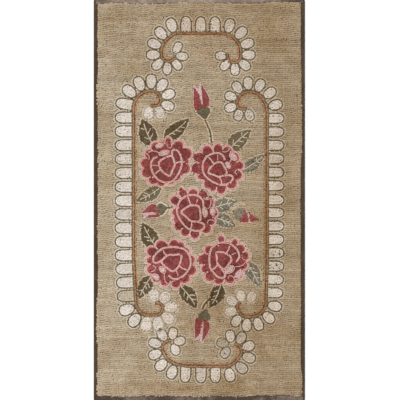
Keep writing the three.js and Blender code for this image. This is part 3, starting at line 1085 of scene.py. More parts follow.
def grid_lines(half_size):
    """Lines of the cloth's grid: close ones at the hem and even ones inside."""
    reach = half_size - HEM_REACH
    even = np.linspace(-reach, reach, 2 * math.ceil(reach / CLOTH_CELL) + 1)
    near = half_size - np.array(HEM_LINES)
    return np.concatenate([-near, even, near[::-1]])


def foundation_cloth(pile, colours):
    """The woven cloth under the loops. Its back shows the foot of each loop that comes through."""
    x, y = np.meshgrid(grid_lines(HALF_WIDTH), grid_lines(HALF_LENGTH))
    inset = np.minimum(HALF_WIDTH - np.abs(x), HALF_LENGTH - np.abs(y))
    ease = corner_inset(HALF_WIDTH - FOLD_RADIUS, HALF_WIDTH)
    for row in (0, -1):
        for column in (0, -1):
            x[row, column] -= math.copysign(ease, x[row, column])
            y[row, column] -= math.copysign(ease, y[row, column])
    uneven = np.random.default_rng(5).uniform(0, 0.25, x.shape)
    base = cloth_base(inset) + np.where(inset > HEM_REACH, uneven, 0)
    sheets = [np.stack([x, y, z], axis=2).reshape(-1, 3) for z in (base, base + CLOTH_THICKNESS)]
    # faces of the back, of the front, and of the rim between them
    number = np.arange(x.size).reshape(x.shape)
    a, b = number[:-1, :-1].ravel(), number[:-1, 1:].ravel()
    c, d = number[1:, 1:].ravel(), number[1:, :-1].ravel()
    back = np.stack([a, d, c, b], axis=1)
    front = np.stack([a, b, c, d], axis=1)
    rim = np.concatenate([number[0, :-1], number[:-1, -1], number[-1, :0:-1], number[:0:-1, 0]])
    following = np.roll(rim, -1)
    sides = np.stack([rim, following, following + x.size, rim + x.size], axis=1)
    faces = np.vstack([back, front + x.size, sides])
    piece = smooth_mesh("foundation_cloth", np.vstack(sheets), faces)
    # the back takes the colour of the wool over each of its faces
    middle = np.stack([(x[:-1, :-1] + x[1:, 1:]).ravel() / 2,
                       (y[:-1, :-1] + y[1:, 1:]).ravel() / 2], axis=1)
    shown = pile.wool[pile.cells(middle)]
    table = np.array([(*getattr(colours, name), 1.0) for name in STRANDS])
    cloth = np.array((*colours.cloth, 0.0))
    values = np.tile(cloth, (len(faces), 1))
    values[: len(back)] = np.where((shown >= 0)[:, None], table[np.clip(shown, 0, None)], cloth)
    set_values(piece, "hooked_back", "FLOAT_COLOR", "FACE", values)
    corners = np.array([(0, 0, 0), (1, 0, 0), (1, 1, 0), (0, 1, 0)])
    set_values(piece, "foot_place", "FLOAT_VECTOR", "CORNER", np.tile(corners, (len(faces), 1)))
    flat = np.stack([x / HALF_WIDTH / 4.1 + 0.25, y / HALF_LENGTH / 2.05 + 0.5], axis=2)
    flat = flat.reshape(-1, 2)
    run = np.linspace(0.02, 0.98, len(rim) + 1)
    hem = np.empty((len(rim), 4, 2))
    hem[:, :, 0] = np.stack([run[:-1], run[1:], run[1:], run[:-1]], axis=1)
    hem[:, :, 1] = (0.002, 0.002, 0.008, 0.008)
    set_flat_places(piece, np.concatenate([flat[back], flat[front] + np.array([0.5, 0]), hem]))
    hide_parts("hooked_field")
    return piece


# A point of a folded tape's section: which leg, how far out along it from the fold, a shift in
# millimetres, and the height. The fold's own points have no share, and their shift is the inset.
SectionPoint = namedtuple("SectionPoint", "leg share shift height")


def section_leg(leg, heights, shares):
    """One leg of the section, out along one side, round its edge and back along the other."""
    out = [SectionPoint(leg, share, 0, heights[0]) for share in (0.0, 0.5)]
    edge = [SectionPoint(leg, 1.0, shift, z) for shift, z in zip((-0.4, 0, -0.4), heights)]
    return out + edge + [SectionPoint(leg, share, 0, heights[2]) for share in shares]


def section_fold(radius, angles):
    """Points round one side of the fold."""
    turns = [math.radians(angle) for angle in angles]
    return [SectionPoint("fold", 0, radius * math.cos(turn), FOLD_RADIUS + radius * math.sin(turn))
            for turn in turns]


UNDER_FACE = FOLD_HEIGHT - TAPE_THICKNESS
TAPE_SECTION = (
    *section_leg("back", (0, TAPE_THICKNESS / 2, TAPE_THICKNESS), (0.5, 0.0)),
    *section_fold(FOLD_RADIUS - TAPE_THICKNESS, (225, 180, 135)),
    *section_leg("face", (UNDER_FACE, UNDER_FACE + TAPE_THICKNESS / 2, FOLD_HEIGHT),
                 (0.8, 0.55, 0.3, 0.0)),
    *section_fold(FOLD_RADIUS, (112, 135, 157, 180, 203, 225, 248)),
)
TAPE_STEP = 5.0
# How faded the end tape is, from the left to the right of the top edge.
FADED_AT = (-360, -300, -200, 230, 300)
FADED_BY = (0.35, 0.4, 0.8, 0.75, 0.05)


def binding_strip(side, sizes, seed):
    """One strip of tape folded round an edge of the rug, puckered where it is sewn."""
    edge = EDGES[side]
    places, widths = FACES[side]
    fine = [places[:1]]
    for low, high in zip(places[:-1], places[1:]):
        fine.append(np.linspace(low, high, max(1, math.ceil((high - low) / TAPE_STEP)) + 1)[1:])
    at = np.concatenate(fine)
    face = np.interp(at, places, widths)
    narrow = face <= CORNER_WIDTH + 0.01
    back = np.where(narrow, CORNER_WIDTH, BACK_WIDTH)
    phase = np.random.default_rng(seed).uniform(0, 6, 4)
    wobble = (np.sin(at / 23 + phase[0]) + np.sin(at / 11 + phase[1])
              + 0.7 * np.sin(at / 5.5 + phase[2])) / 2.7
    slow = np.sin(2 * math.pi * at / 190) ** 2
    count, ring = len(at), len(TAPE_SECTION)
    points = np.zeros((count, ring, 3))
    for n, mark in enumerate(TAPE_SECTION):
        leg = face if mark.leg == "face" else back
        inset = FOLD_RADIUS + mark.share * (leg - FOLD_RADIUS) + mark.shift
        lifted = max(0.0, mark.height / FOLD_RADIUS - 1)
        swell = math.sin(math.pi * min(mark.share + 0.15, 1)) if mark.leg == "face" else 0.3
        lift = lifted * (sizes.pucker * slow + 0.35 * swell * (0.5 + 0.5 * wobble))
        if edge.along_axis == 1:
            kept = np.clip(1 - inset / CORNER_WIDTH, 0, 1)
            inset = inset + corner_inset(at, HALF_LENGTH) * kept
        points[:, n, edge.along_axis] = at
        points[:, n, 1 - edge.along_axis] = edge.sign * (edge.half_size - inset)
        points[:, n, 2] = mark.height + np.where(narrow, 0, lift)
    number = np.arange(count * ring).reshape(count, ring)
    beside = np.roll(number, -1, axis=1)
    faces = np.stack([number[:-1].ravel(), beside[:-1].ravel(),
                      beside[1:].ravel(), number[1:].ravel()], axis=1)
    mirrored = (edge.sign > 0) != (edge.along_axis == 0)
    piece = smooth_mesh(f"tape_{side}", points.reshape(-1, 3), faces[:, :: -1 if mirrored else 1])
    close_ends(piece, number[0], number[-1], mirrored)
    faded = np.interp(at, FADED_AT, FADED_BY) if side == "top" else np.full(count, 0.15)
    # the inner edge of the face leg, which the material darkens with painted shade and some dirt
    seam_shade_and_dirt = [float(mark.leg == "face" and mark.share == 1) for mark in TAPE_SECTION]
    set_values(piece, "faded", "FLOAT", "POINT", np.repeat(faded, ring))
    set_values(piece, "seam_shade_and_dirt", "FLOAT", "POINT", np.tile(seam_shade_and_dirt, count))
    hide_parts(edge.node)
    return piece


def close_ends(piece, first, last, mirrored):
    """Closes the two ends of a strip."""
    shape = bmesh.new()
    shape.from_mesh(piece.data)
    shape.verts.ensure_lookup_table()
    for ring, outward in ((first, mirrored), (last, not mirrored)):
        shape.faces.new([shape.verts[int(n)] for n in (ring if outward else ring[::-1])])
    bmesh.ops.triangulate(shape, faces=[f for f in shape.faces if len(f.verts) > 4])
    bmesh.ops.recalc_face_normals(shape, faces=shape.faces)
    shape.to_mesh(piece.data)
    shape.free()


# The middle line of a stitch: past the edge of the tape's face, along it and up; and the radii.
STITCH_LINE = np.array([(-2.8, -1.5, 4.0), (-2.2, -1.1, 4.75), (-0.8, -0.2, 4.95),
                        (0.3, 0.5, 4.6), (0.7, 0.9, 3.6)])
STITCH_RADII = np.array([0.20, 0.42, 0.48, 0.42, 0.2])
STITCH_SIDES = 4


def stitch_faces(mirrored):
    """The triangles of one stitch: its sides from ring to ring, and its two ends."""
    order = -1 if mirrored else 1
    sides = []
    for n in range(4):
        for k in range(STITCH_SIDES):
            a, b = n * STITCH_SIDES + k, n * STITCH_SIDES + (k + 1) % STITCH_SIDES
            sides.append((a, b, b + STITCH_SIDES, a + STITCH_SIDES))
    sides = np.array(sides)[:, ::order]
    caps = np.array([(0, 1, 2), (0, 2, 3)])
    ends = np.vstack([caps[:, ::-1], caps + 4 * STITCH_SIDES])[:, ::order]
    return np.vstack([sides[:, [0, 1, 2]], sides[:, [0, 2, 3]], ends])


def stitch_points(line):
    """Rings of points round the middle line of a stitch."""
    t = np.arange(STITCH_SIDES) * 2 * math.pi / STITCH_SIDES
    ahead = np.gradient(line, axis=0)
    ahead /= np.linalg.norm(ahead, axis=1)[:, None]
    first = np.cross(ahead, (0, 1, 0))
    first /= np.linalg.norm(first, axis=1)[:, None]
    second = np.cross(ahead, first)
    out = (np.cos(t)[None, :, None] * first[:, None] + np.sin(t)[None, :, None] * second[:, None])
    return (line[:, None] + STITCH_RADII[:, None, None] * out).reshape(-1, 3)


def hem_stitches(sizes):
    """Small slanting stitches that hold the face of the tape down beside the pile."""
    rng = np.random.default_rng(31)
    all_points, all_faces, start = [], [], 0
    for side, edge in EDGES.items():
        places, widths = FACES[side]
        wide = places[widths > CORNER_WIDTH + 0.5]
        at = np.arange(wide.min() + 6, wide.max() - 6, sizes.stitch_spacing)
        faces = stitch_faces((edge.sign > 0) == (edge.along_axis == 0))
        for place in at + rng.normal(0, 0.6, len(at)):
            line = STITCH_LINE + (float(np.interp(place, places, widths)), place, 0)
            line[:, :2] += rng.normal(0, 0.12, (5, 2))
            inset, run, height = stitch_points(line).T
            points = np.zeros((len(run), 3))
            points[:, edge.along_axis] = run
            points[:, 1 - edge.along_axis] = edge.sign * (edge.half_size - inset)
            points[:, 2] = height
            all_points.append(points)
            all_faces.append(faces + start)
            start += len(points)
    piece = smooth_mesh("hem_stitches", np.vstack(all_points), np.vstack(all_faces))
    return piece


class Nodes:
    """Adds nodes to a tree and joins them, left to right."""

    def __init__(self, tree):
        self.tree = tree
        self.made = 0

    def add(self, kind, **settings):
        node = self.tree.nodes.new(kind)
        self.made += 1
        node.location = (180 * (self.made % 8), -220 * (self.made // 8))
        for name, value in settings.items():
            setattr(node, name, value)
        return node

    def feed(self, socket, value):
        """Gives a socket a number or a colour, or joins another socket to it."""
        if isinstance(value, bpy.types.NodeSocket):
            self.tree.links.new(value, socket)
        else:
            socket.default_value = value

    def fed(self, kind, inputs, **settings):
        """A new node with values for some of its sockets, by their names or numbers."""
        node = self.add(kind, **settings)
        for key, value in inputs.items():
            self.feed(node.inputs[key], value)
        return node

    def math(self, operation, first, second=0.0, clamp=False):
        return self.fed("ShaderNodeMath", {0: first, 1: second}, operation=operation,
                        use_clamp=clamp).outputs[0]

    def product(self, first, *others):
        for other in others:
            first = self.math("MULTIPLY", first, other)
        return first

    def scaled(self, value, low, high, to_low=0.0, to_high=1.0, smooth=False):
        node = self.add("ShaderNodeMapRange")
        if smooth:
            node.interpolation_type = "SMOOTHSTEP"
        for socket, number in zip(node.inputs, (value, low, high, to_low, to_high)):
            self.feed(socket, number)
        return node.outputs[0]

    def mix(self, share, first, second, blend="MIX"):
        return self.fed("ShaderNodeMix", {"Factor": share, 6: first, 7: second},
                        data_type="RGBA", blend_type=blend).outputs[2]

    def tinted(self, colour, tint, share=1.0):
        return self.mix(share, colour, tint, "MULTIPLY")

    def attribute(self, name):
        return self.add("ShaderNodeAttribute", attribute_name=name)

    def place(self):
        return self.add("ShaderNodeTexCoord").outputs["Object"]

    def noise(self, place, scale, detail=2.0, roughness=0.5):
        inputs = {"Vector": place, "Scale": scale, "Detail": detail, "Roughness": roughness}
        return self.fed("ShaderNodeTexNoise", inputs).outputs[0]

    def wave(self, place, direction, scale, distortion):
        inputs = {"Vector": place, "Scale": scale, "Distortion": distortion}
        return self.fed("ShaderNodeTexWave", inputs, wave_type="BANDS",
                        bands_direction=direction).outputs["Fac"]

    def grey(self, value):
        return self.fed("ShaderNodeCombineColor", {0: value, 1: value, 2: value}).outputs[0]

    def bump(self, height, distance):
        inputs = {"Height": height, "Distance": distance, "Strength": 1.0}
        return self.fed("ShaderNodeBump", inputs).outputs[0]


COLOUR, NUMBER = "NodeSocketColor", "NodeSocketFloat"
STRAND_OUTPUTS = (("Color", COLOUR), ("Roughness", NUMBER), ("Height", NUMBER))


def new_group(name, inputs, outputs):
    """A node group with its sockets, what adds nodes to it, and its two ends."""
    tree = bpy.data.node_groups.new(name, "ShaderNodeTree")
    for sockets, way in ((inputs, "INPUT"), (outputs, "OUTPUT")):
        for label, kind in sockets:
            tree.interface.new_socket(label, in_out=way, socket_type=kind)
    nodes = Nodes(tree)
    given, result = nodes.add("NodeGroupInput"), nodes.add("NodeGroupOutput")
    return tree, nodes, given.outputs, result.inputs


def wool_strand(name):
    """Loop by loop shades of one dyed wool, with painted shade towards each loop's root, and short
    fibres.
    """
    tree, nodes, given, result = new_group(
        name, (("Color", COLOUR), ("Spread", NUMBER), ("Root", NUMBER)), STRAND_OUTPUTS
    )
    wool = nodes.attribute("wool").outputs["Color"]
    shade, height, chance = nodes.fed("ShaderNodeSeparateColor", {0: wool}).outputs
    place = nodes.place()
    fibres = nodes.noise(place, 1400, 3.0, 0.6)
    clumps = nodes.noise(place, 160)
    lightness = nodes.math("SUBTRACT", shade, 0.5)
    lightness = nodes.math("MULTIPLY", lightness, given["Spread"])
    lightness = nodes.math("ADD", lightness, 1.0)
    fleck = nodes.scaled(fibres, 0.3, 0.7, 0.9, 1.1)
    clump = nodes.scaled(clumps, 0.3, 0.7, 0.93, 1.07)
    # painted shade: the colour darkens towards the foot of each loop, down among its neighbours
    root = nodes.scaled(height, 0.1, 0.9, given["Root"], 1.0, smooth=True)
    tint = nodes.fed("ShaderNodeHueSaturation", {
        "Hue": nodes.scaled(chance, 0, 1, 0.494, 0.506),
        "Saturation": nodes.scaled(chance, 0, 1, 1.12, 0.9),
        "Value": nodes.product(lightness, fleck, clump, root),
        "Color": given["Color"],
    })
    nodes.feed(result["Color"], tint.outputs[0])
    nodes.feed(result["Roughness"], nodes.scaled(fibres, 0.2, 0.8, 0.82, 0.98))
    strand = nodes.attribute("strand").outputs["Vector"]
    ply = nodes.product(nodes.wave(strand, "DIAGONAL", 0.22, 1.5), 0.7)
    nodes.feed(result["Height"], nodes.math("ADD", ply, fibres))
    return tree


def age_and_soil(name):
    """Soil in the wool: slow patches, a warmer and darker right side, and the brown stains."""
    tree, nodes, given, result = new_group(
        name, (("Color", COLOUR), ("Amount", NUMBER)), (("Color", COLOUR),)
    )
    place, amount = nodes.place(), given["Amount"]
    across = nodes.fed("ShaderNodeSeparateXYZ", {0: place}).outputs[0]
    rightward = nodes.scaled(across, -0.38, 0.38)
    colour = nodes.tinted(given["Color"], (0.80, 0.74, 0.66, 1), nodes.product(rightward, amount))
    patches = nodes.scaled(nodes.noise(place, 5.5, 3.0, 0.55), 0.42, 0.68, smooth=True)
    colour = nodes.tinted(colour, (0.84, 0.78, 0.68, 1), nodes.product(patches, amount))
    stretched = nodes.fed("ShaderNodeMapping", {"Vector": place, "Scale": (4, 60, 1)})
    streaks = nodes.scaled(nodes.noise(stretched.outputs[0], 1.0), 0.35, 0.7)
    colour = nodes.tinted(colour, (0.88, 0.86, 0.82, 1), nodes.product(streaks, amount))
    soil = nodes.attribute("soil").outputs["Fac"]
    spots = nodes.scaled(nodes.noise(place, 45, 3.0, 0.6), 0.25, 0.7)
    brown = nodes.math("MULTIPLY", nodes.product(soil, spots), 1.3, clamp=True)
    nodes.feed(result["Color"], nodes.tinted(colour, (0.66, 0.50, 0.32, 1), brown))
    return tree


def tape_weave(name):
    """Narrow twill tape: slanting ribs, faded and rubbed patches, and painted shade with some dirt
    along the inner edge of its face, beside the pile.
    """
    tree, nodes, given, result = new_group(
        name, (("Color", COLOUR), ("Faded", COLOUR)), STRAND_OUTPUTS
    )
    place = nodes.place()
    ribs = nodes.wave(place, "DIAGONAL", 210, 0.6)
    threads = nodes.noise(place, 1600)
    worn = nodes.scaled(nodes.noise(place, 9, 4.0, 0.6), 0.4, 0.66, smooth=True)
    rubbed = nodes.scaled(nodes.noise(place, 60, 3.0, 0.6), 0.35, 0.7)
    patchy = nodes.product(nodes.math("ADD", worn, rubbed), 0.45)
    share = nodes.product(nodes.attribute("faded").outputs["Fac"], 0.9)
    share = nodes.math("SUBTRACT", nodes.math("ADD", share, patchy), 0.38, clamp=True)
    colour = nodes.mix(share, given["Color"], given["Faded"])
    # painted shade with some dirt: a dark band along the inner edge of the tape's face, in the
    # crevice beside the higher pile
    colour = nodes.tinted(colour, (0.42, 0.40, 0.37, 1), nodes.attribute("seam_shade_and_dirt").outputs["Fac"])
    colour = nodes.tinted(colour, nodes.grey(nodes.scaled(ribs, 0, 1, 0.8, 1.08)))
    nodes.feed(result["Color"], colour)
    nodes.feed(result["Roughness"], nodes.scaled(threads, 0.2, 0.8, 0.75, 0.95))
    nodes.feed(result["Height"], nodes.math("ADD", ribs, nodes.product(threads, 0.5)))
    return tree


GROUPS = {"Wool strand": wool_strand, "Age and soil": age_and_soil, "Tape weave": tape_weave}


def use_group(nodes, name, **inputs):
    """Places a node group in a material, and builds the group where it isn't built yet."""
    tree = bpy.data.node_groups.get(name) or GROUPS[name](name)
    return nodes.fed("ShaderNodeGroup", inputs, node_tree=tree).outputs


def new_material(name):
    material = bpy.data.materials.new(name)
    material.use_nodes = True
    tree = material.node_tree
    return material, Nodes(tree), tree.nodes["Principled BSDF"].inputs


def finish(nodes, shader, colour, roughness, height, distance):
    """Joins what changes over a surface to its shader."""
    nodes.feed(shader["Base Color"], colour)
    nodes.feed(shader["Roughness"], roughness)
    nodes.feed(shader["Normal"], nodes.bump(height, distance))


def wool_material(name, colour, spread, root, soil):
    """Hooked wool in one colour."""
    material, nodes, shader = new_material(name)
    strand = use_group(nodes, "Wool strand", Color=(*colour, 1), Spread=spread, Root=root)
    aged = use_group(nodes, "Age and soil", Color=strand["Color"], Amount=soil)
    finish(nodes, shader, aged["Color"], strand["Roughness"], strand["Height"], 0.0004)
    shader["Specular IOR Level"].default_value = 0.15
    shader["Sheen Weight"].default_value = 0.12
    shader["Sheen Roughness"].default_value = 0.5
    return material


def tape_material(name, colour, faded):
    """Bound cotton tape."""
    material, nodes, shader = new_material(name)
    weave = use_group(nodes, "Tape weave", Color=(*colour, 1), Faded=(*faded, 1))
    finish(nodes, shader, weave["Color"], weave["Roughness"], weave["Height"], 0.0002)
    shader["Specular IOR Level"].default_value = 0.2
    return material


def thread_material(name, colour):
    """Sewing thread."""
    material, nodes, shader = new_material(name)
    fibres = nodes.noise(nodes.place(), 2200)
    shade = nodes.grey(nodes.scaled(fibres, 0.3, 0.7, 0.8, 1.15))
    finish(nodes, shader, nodes.tinted((*colour, 1), shade),
           nodes.scaled(fibres, 0.2, 0.8, 0.7, 0.9), fibres, 0.0001)
    return material


def cloth_material(name, colour):
    """Burlap, with the foot of each loop on its back."""
    material, nodes, shader = new_material(name)
    back = nodes.attribute("hooked_back").outputs
    place = nodes.place()
    foot = nodes.attribute("foot_place").outputs["Vector"]
    parts = nodes.fed("ShaderNodeSeparateXYZ", {0: foot}).outputs
    heights = []
    for part in parts[:2]:
        off = nodes.math("ABSOLUTE", nodes.math("SUBTRACT", part, 0.5))
        heights.append(nodes.math("POWER", nodes.product(off, 2.0), 3.0))
    pillow = nodes.math("SUBTRACT", 1.0, nodes.math("ADD", *heights), clamp=True)
    weave = [nodes.wave(place, direction, 160, 1.0) for direction in ("X", "Y")]
    burlap = nodes.math("MAXIMUM", *weave)
    shade = nodes.grey(nodes.scaled(burlap, 0, 1, 0.55, 1.05))
    bare = nodes.tinted((*colour, 1), shade)
    fibres = nodes.noise(place, 700)
    dyed = nodes.tinted(back["Color"], nodes.grey(nodes.scaled(fibres, 0.3, 0.7, 0.75, 1.05)))
    covered = nodes.product(back["Alpha"], nodes.scaled(pillow, 0.15, 0.5, smooth=True))
    height = nodes.math("ADD", nodes.product(pillow, covered), nodes.product(burlap, 0.3))
    finish(nodes, shader, nodes.mix(covered, bare, dyed),
           nodes.scaled(fibres, 0.2, 0.8, 0.85, 0.98), height, 0.0008)
    shader["Specular IOR Level"].default_value = 0.15
    return material


def srgb(red, green, blue):
    """A colour from 0 to 255 as the linear numbers that a shader takes."""
    def linear(value):
        value /= 255
        return value / 12.92 if value <= 0.04045 else ((value + 0.055) / 1.055) ** 2.4

    return tuple(linear(value) for value in (red, green, blue))


def colour_property(name, description, red, green, blue):
    return bpy.props.FloatVectorProperty(
        name=name, description=description, default=srgb(red, green, blue), subtype="COLOR",
        min=0.0, max=1.0,
    )


def size_property(name, description, default, low, high, **kind):
    return bpy.props.FloatProperty(
        name=name, description=description, default=default, min=low, max=high, **kind
    )


class PileSizes(bpy.types.PropertyGroup):
    """Heights and evenness of the loops, in millimetres."""

    pile_height: size_property("Pile height", "From the floor to the top of the loops, in mm",
                               7.6, 5.0, 9.0)
    edge_height: size_property("Edge height", "From the floor to the loops by the tape, in mm",
                               6.6, 4.0, 9.0)
    unevenness: size_property("Unevenness", "How much loop heights differ, in mm", 0.45, 0, 1.5)
    sunken: size_property("Sunken loops", "Share of loops that were hooked too low",
                          2.5, 0, 50, subtype="PERCENTAGE")
    seed: bpy.props.IntProperty(
        name="Seed", description="Another number gives another hand", default=7, min=0,
    )


class WoolColours(bpy.types.PropertyGroup):
    """The dyed wools, and the cloth under them."""

    ground: colour_property("Ground", "Oatmeal wool of the ground", 192, 176, 152)
    contour: colour_property("Contour", "Light wool round the motifs", 210, 198, 178)
    ivory: colour_property("Ivory", "Scallops", 220, 211, 202)
    outline: colour_property("Outline", "Dark olive rows round the scallops", 118, 106, 84)
    rust: colour_property("Rust", "Scroll lines", 148, 98, 73)
    ochre: colour_property("Ochre", "Both sides of the rust rows", 190, 157, 121)
    rose: colour_property("Rose", "Rose petals", 156, 80, 80)
    pink: colour_property("Pink", "Rims of the petals", 226, 184, 178)
    shell: colour_property("Shell", "Small pale petals in the heart of a rose", 222, 196, 196)
    leaf_dark: colour_property("Dark leaf", "Dark olive leaves", 110, 92, 66)
    leaf_grey: colour_property("Grey leaf", "Greyer leaves on the right", 138, 130, 116)
    vein: colour_property("Vein", "Veins of the leaves", 214, 204, 184)
    bud: colour_property("Bud", "Petals of the buds", 160, 86, 84)
    stem: colour_property("Stem", "Stems and calyxes", 116, 107, 88)
    cloth: colour_property("Cloth", "Burlap under the loops", 168, 146, 114)


class BindingSizes(bpy.types.PropertyGroup):
    """The binding tape and the stitches that hold it."""

    pucker: size_property("Pucker", "Height of the slow puckers, in mm", 0.3, 0, 1)
    stitch_spacing: size_property("Stitch spacing", "From one hem stitch to the next, in mm",
                                  7, 4, 20)
    dark: colour_property("Side tape", "Dark tape on the two long sides", 72, 56, 42)
    dark_faded: colour_property("Side tape, faded", "Where it has faded", 96, 78, 62)
    taupe: colour_property("End tape", "Taupe tape on the two ends", 78, 64, 55)
    taupe_faded: colour_property("End tape, faded", "Where it has faded", 166, 148, 134)
    thread: colour_property("Thread", "Hem stitches", 116, 98, 78)


class StageSettings(bpy.types.PropertyGroup):
    """Floor, lights and camera."""

    floor_colour: colour_property("Floor", "Plain pale floor", 250, 250, 250)
    lens: size_property("Lens", "Focal length in mm", 85, 20, 300)
    picture_width: size_property("Picture width", "Width of floor that the camera sees",
                                 1.441, 0.1, 10, unit="LENGTH")
    key_strength: size_property("Key light", "Strength of the soft light from the far left",
                                2.6, 0, 20)
    fill: size_property("Fill", "Strength of the light from all round", 0.55, 0, 3)


work = {}


def the_pile(settings):
    """The loops so far, with the plan of the pattern drawn on the cloth."""
    if "pile" not in work:
        x, y = (np.arange(-half, half) + 0.5 for half in (HALF_WIDTH, HALF_LENGTH))
        free = inset_from_wall(*np.meshgrid(x, y)) > 0
        work["pile"] = Pile(HALF_WIDTH, HALF_LENGTH, free, settings.seed)
    return work["pile"]


# The piece of each wool: its name, how much its loops differ in shade, how light the painted
# shade at the root leaves them, and how much they soil.
Look = namedtuple("Look", "piece spread root soil")
LOOKS = {
    "contour": Look("contour_rows", 0.4, 0.8, 1.0),
    "ivory": Look("scallop_ivory", 0.5, 0.9, 0.6),
    "outline": Look("scallop_outlines", 0.8, 0.85, 1.0),
    "rust": Look("scroll_rust", 1.0, 0.8, 1.0),
    "ochre": Look("scroll_ochre", 0.5, 0.7, 1.0),
    "rose": Look("rose_petals", 1.1, 0.7, 1.0),
    "pink": Look("rose_rims", 0.3, 0.75, 0.6),
    "shell": Look("rose_shells", 0.2, 0.8, 0.6),
    "leaf_dark": Look("leaves_dark", 0.8, 0.7, 1.0),
    "leaf_grey": Look("leaves_grey", 0.8, 0.7, 0.6),
    "vein": Look("leaf_veins", 0.3, 0.75, 0.6),
    "bud": Look("bud_petals", 0.5, 0.7, 1.0),
    "stem": Look("bud_stems", 0.7, 0.8, 1.0),
}
GROUND_LOOK = Look("ground", 0.42, 0.82, 1.0)
ZONES = ("top", "bottom", "left", "right", "middle")


def dress(context, wool, rows, seed, look):
    """Makes one piece of a wool's loops and gives it its material."""
    piece = hooked_piece(look.piece, rows, STRANDS[wool], context.scene.rug_pile, seed)
    key = f"{wool}_wool"
    if key not in work:
        work[key] = wool_material(key, getattr(context.scene.rug_wools, wool), *look[1:])
    piece.data.materials.append(work[key])


class RUG_OT_flowers(bpy.types.Operator):
    """Hooks the roses, the leaves and the buds"""

    bl_idname = "rug.flowers"
    bl_label = "Roses, leaves and buds"

    def execute(self, context):
        pile = the_pile(context.scene.rug_pile)
        hook_roses(pile)
        hook_leaves(pile)
        hook_buds(pile)
        return {"FINISHED"}


class RUG_OT_frame(bpy.types.Operator):
    """Hooks the scroll lines and their scallops"""

    bl_idname = "rug.frame"
    bl_label = "Scrolls and scallops"

    def execute(self, context):
        hook_frame(the_pile(context.scene.rug_pile))
        return {"FINISHED"}


class RUG_OT_ground(bpy.types.Operator):
    """Hooks the light rows round the motifs and fills the ground, and makes all the loops"""

    bl_idname = "rug.ground"
    bl_label = "Ground and loops"

    def execute(self, context):
        pile = the_pile(context.scene.rug_pile)
        hook_contours(pile)
        hook_ground(pile)
        fill_gaps(pile)
        ground = np.array(pile.loops["ground"])
        x, y = ground[:, 0], ground[:, 1]
        zones = np.select([y > 400, y < -400, x < -240, x > 240], [0, 1, 2, 3], 4)
        for number, zone in enumerate(ZONES):
            look = GROUND_LOOK._replace(piece=f"ground_{zone}")
            dress(context, "ground", ground[zones == number], 60 + number, look)
        for number, (wool, look) in enumerate(LOOKS.items()):
            dress(context, wool, pile.loops[wool], 80 + number, look)
        return {"FINISHED"}


class RUG_OT_foundation(bpy.types.Operator):
    """Makes the woven cloth under the loops"""

    bl_idname = "rug.foundation"
    bl_label = "Foundation cloth"

    def execute(self, context):
        colours = context.scene.rug_wools
        piece = foundation_cloth(the_pile(context.scene.rug_pile), colours)
        piece.data.materials.append(cloth_material("burlap", colours.cloth))
        work["cloth"] = piece
        return {"FINISHED"}


class RUG_OT_binding(bpy.types.Operator):
    """Folds the four tapes round the edges and sews them down"""

    bl_idname = "rug.binding"
    bl_label = "Binding tape and stitches"

    def execute(self, context):
        sizes = context.scene.rug_binding
        dark = tape_material("side_tape", sizes.dark, sizes.dark_faded)
        taupe = tape_material("end_tape", sizes.taupe, sizes.taupe_faded)
        for number, (side, edge) in enumerate(EDGES.items()):
            piece = binding_strip(side, sizes, 20 + number)
            piece.data.materials.append(dark if edge.along_axis == 1 else taupe)
        stitches = hem_stitches(sizes)
        stitches.data.materials.append(thread_material("hem_thread", sizes.thread))
        return {"FINISHED"}


FLOOR_CORNERS = [(x * 6.0, y * 6.0, -0.0003) for x, y in ((-1, -1), (1, -1), (1, 1), (-1, 1))]
SENSOR = 36
CAMERA_X = 0.0024
PILE_TOP = 0.0076


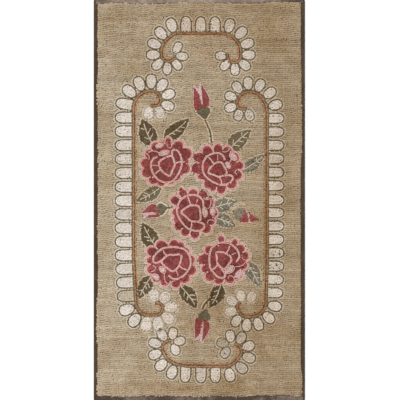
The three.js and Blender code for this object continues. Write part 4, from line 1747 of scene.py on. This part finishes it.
class RUG_OT_stage(bpy.types.Operator):
    """Makes the floor, the lights and the camera"""

    bl_idname = "rug.stage"
    bl_label = "Floor, lights and camera"

    def execute(self, context):
        settings = context.scene.rug_stage
        mesh = bpy.data.meshes.new("floor")
        mesh.from_pydata(FLOOR_CORNERS, [], [(0, 1, 2, 3)])
        floor = add_object("floor", mesh)
        material, _, shader = new_material("pale_floor")
        shader["Base Color"].default_value = (*settings.floor_colour, 1)
        shader["Roughness"].default_value = 0.9
        mesh.materials.append(material)
        world = bpy.data.worlds.new("studio")
        world.use_nodes = True
        background = world.node_tree.nodes["Background"].inputs
        background["Color"].default_value = (1, 1, 1, 1)
        background["Strength"].default_value = settings.fill
        context.scene.world = world
        lamp = bpy.data.lights.new("key_light", "SUN")
        lamp.angle = math.radians(24)
        lamp.energy = settings.key_strength
        key = add_object("key_light", lamp)
        key.location = (-0.9, 2.2, 2.4)
        key.rotation_mode = "QUATERNION"
        key.rotation_quaternion = (-key.location).to_track_quat("-Z", "Y")
        lens = bpy.data.cameras.new("camera")
        lens.lens = settings.lens
        lens.sensor_width = SENSOR
        lens.clip_end = 50
        camera = add_object("camera", lens)
        distance = settings.picture_width * settings.lens / SENSOR
        camera.location = (CAMERA_X, 0.0, PILE_TOP + distance)
        context.scene.camera = camera
        context.scene.view_settings.view_transform = "Standard"
        return {"FINISHED"}


class RUG_PT_panel(bpy.types.Panel):
    """Lists the steps and their settings"""

    bl_label = "Hooked rug"
    bl_idname = "RUG_PT_panel"
    bl_space_type = "VIEW_3D"
    bl_region_type = "UI"
    bl_category = "Rug"

    def draw(self, context):
        for operator in STEPS:
            self.layout.operator(operator.bl_idname)
        for name, group in SETTINGS.items():
            box = self.layout.box()
            box.label(text=name)
            for field in group.__annotations__:
                box.prop(getattr(context.scene, name), field)


STEPS = (
    RUG_OT_flowers, RUG_OT_frame, RUG_OT_ground, RUG_OT_foundation, RUG_OT_binding, RUG_OT_stage,
)
SETTINGS = {
    "rug_pile": PileSizes,
    "rug_wools": WoolColours,
    "rug_binding": BindingSizes,
    "rug_stage": StageSettings,
}


def register():
    for kind in (*SETTINGS.values(), *STEPS, RUG_PT_panel):
        bpy.utils.register_class(kind)
    for name, group in SETTINGS.items():
        setattr(bpy.types.Scene, name, bpy.props.PointerProperty(type=group))


def unregister():
    for name in SETTINGS:
        delattr(bpy.types.Scene, name)
    for kind in (RUG_PT_panel, *STEPS, *SETTINGS.values()):
        bpy.utils.unregister_class(kind)


def main():
    register()
    bpy.ops.rug.flowers()
    bpy.ops.rug.frame()
    bpy.ops.rug.ground()
    bpy.ops.rug.foundation()
    bpy.ops.rug.binding()
    bpy.ops.rug.stage()


if __name__ == "__main__":
    main()
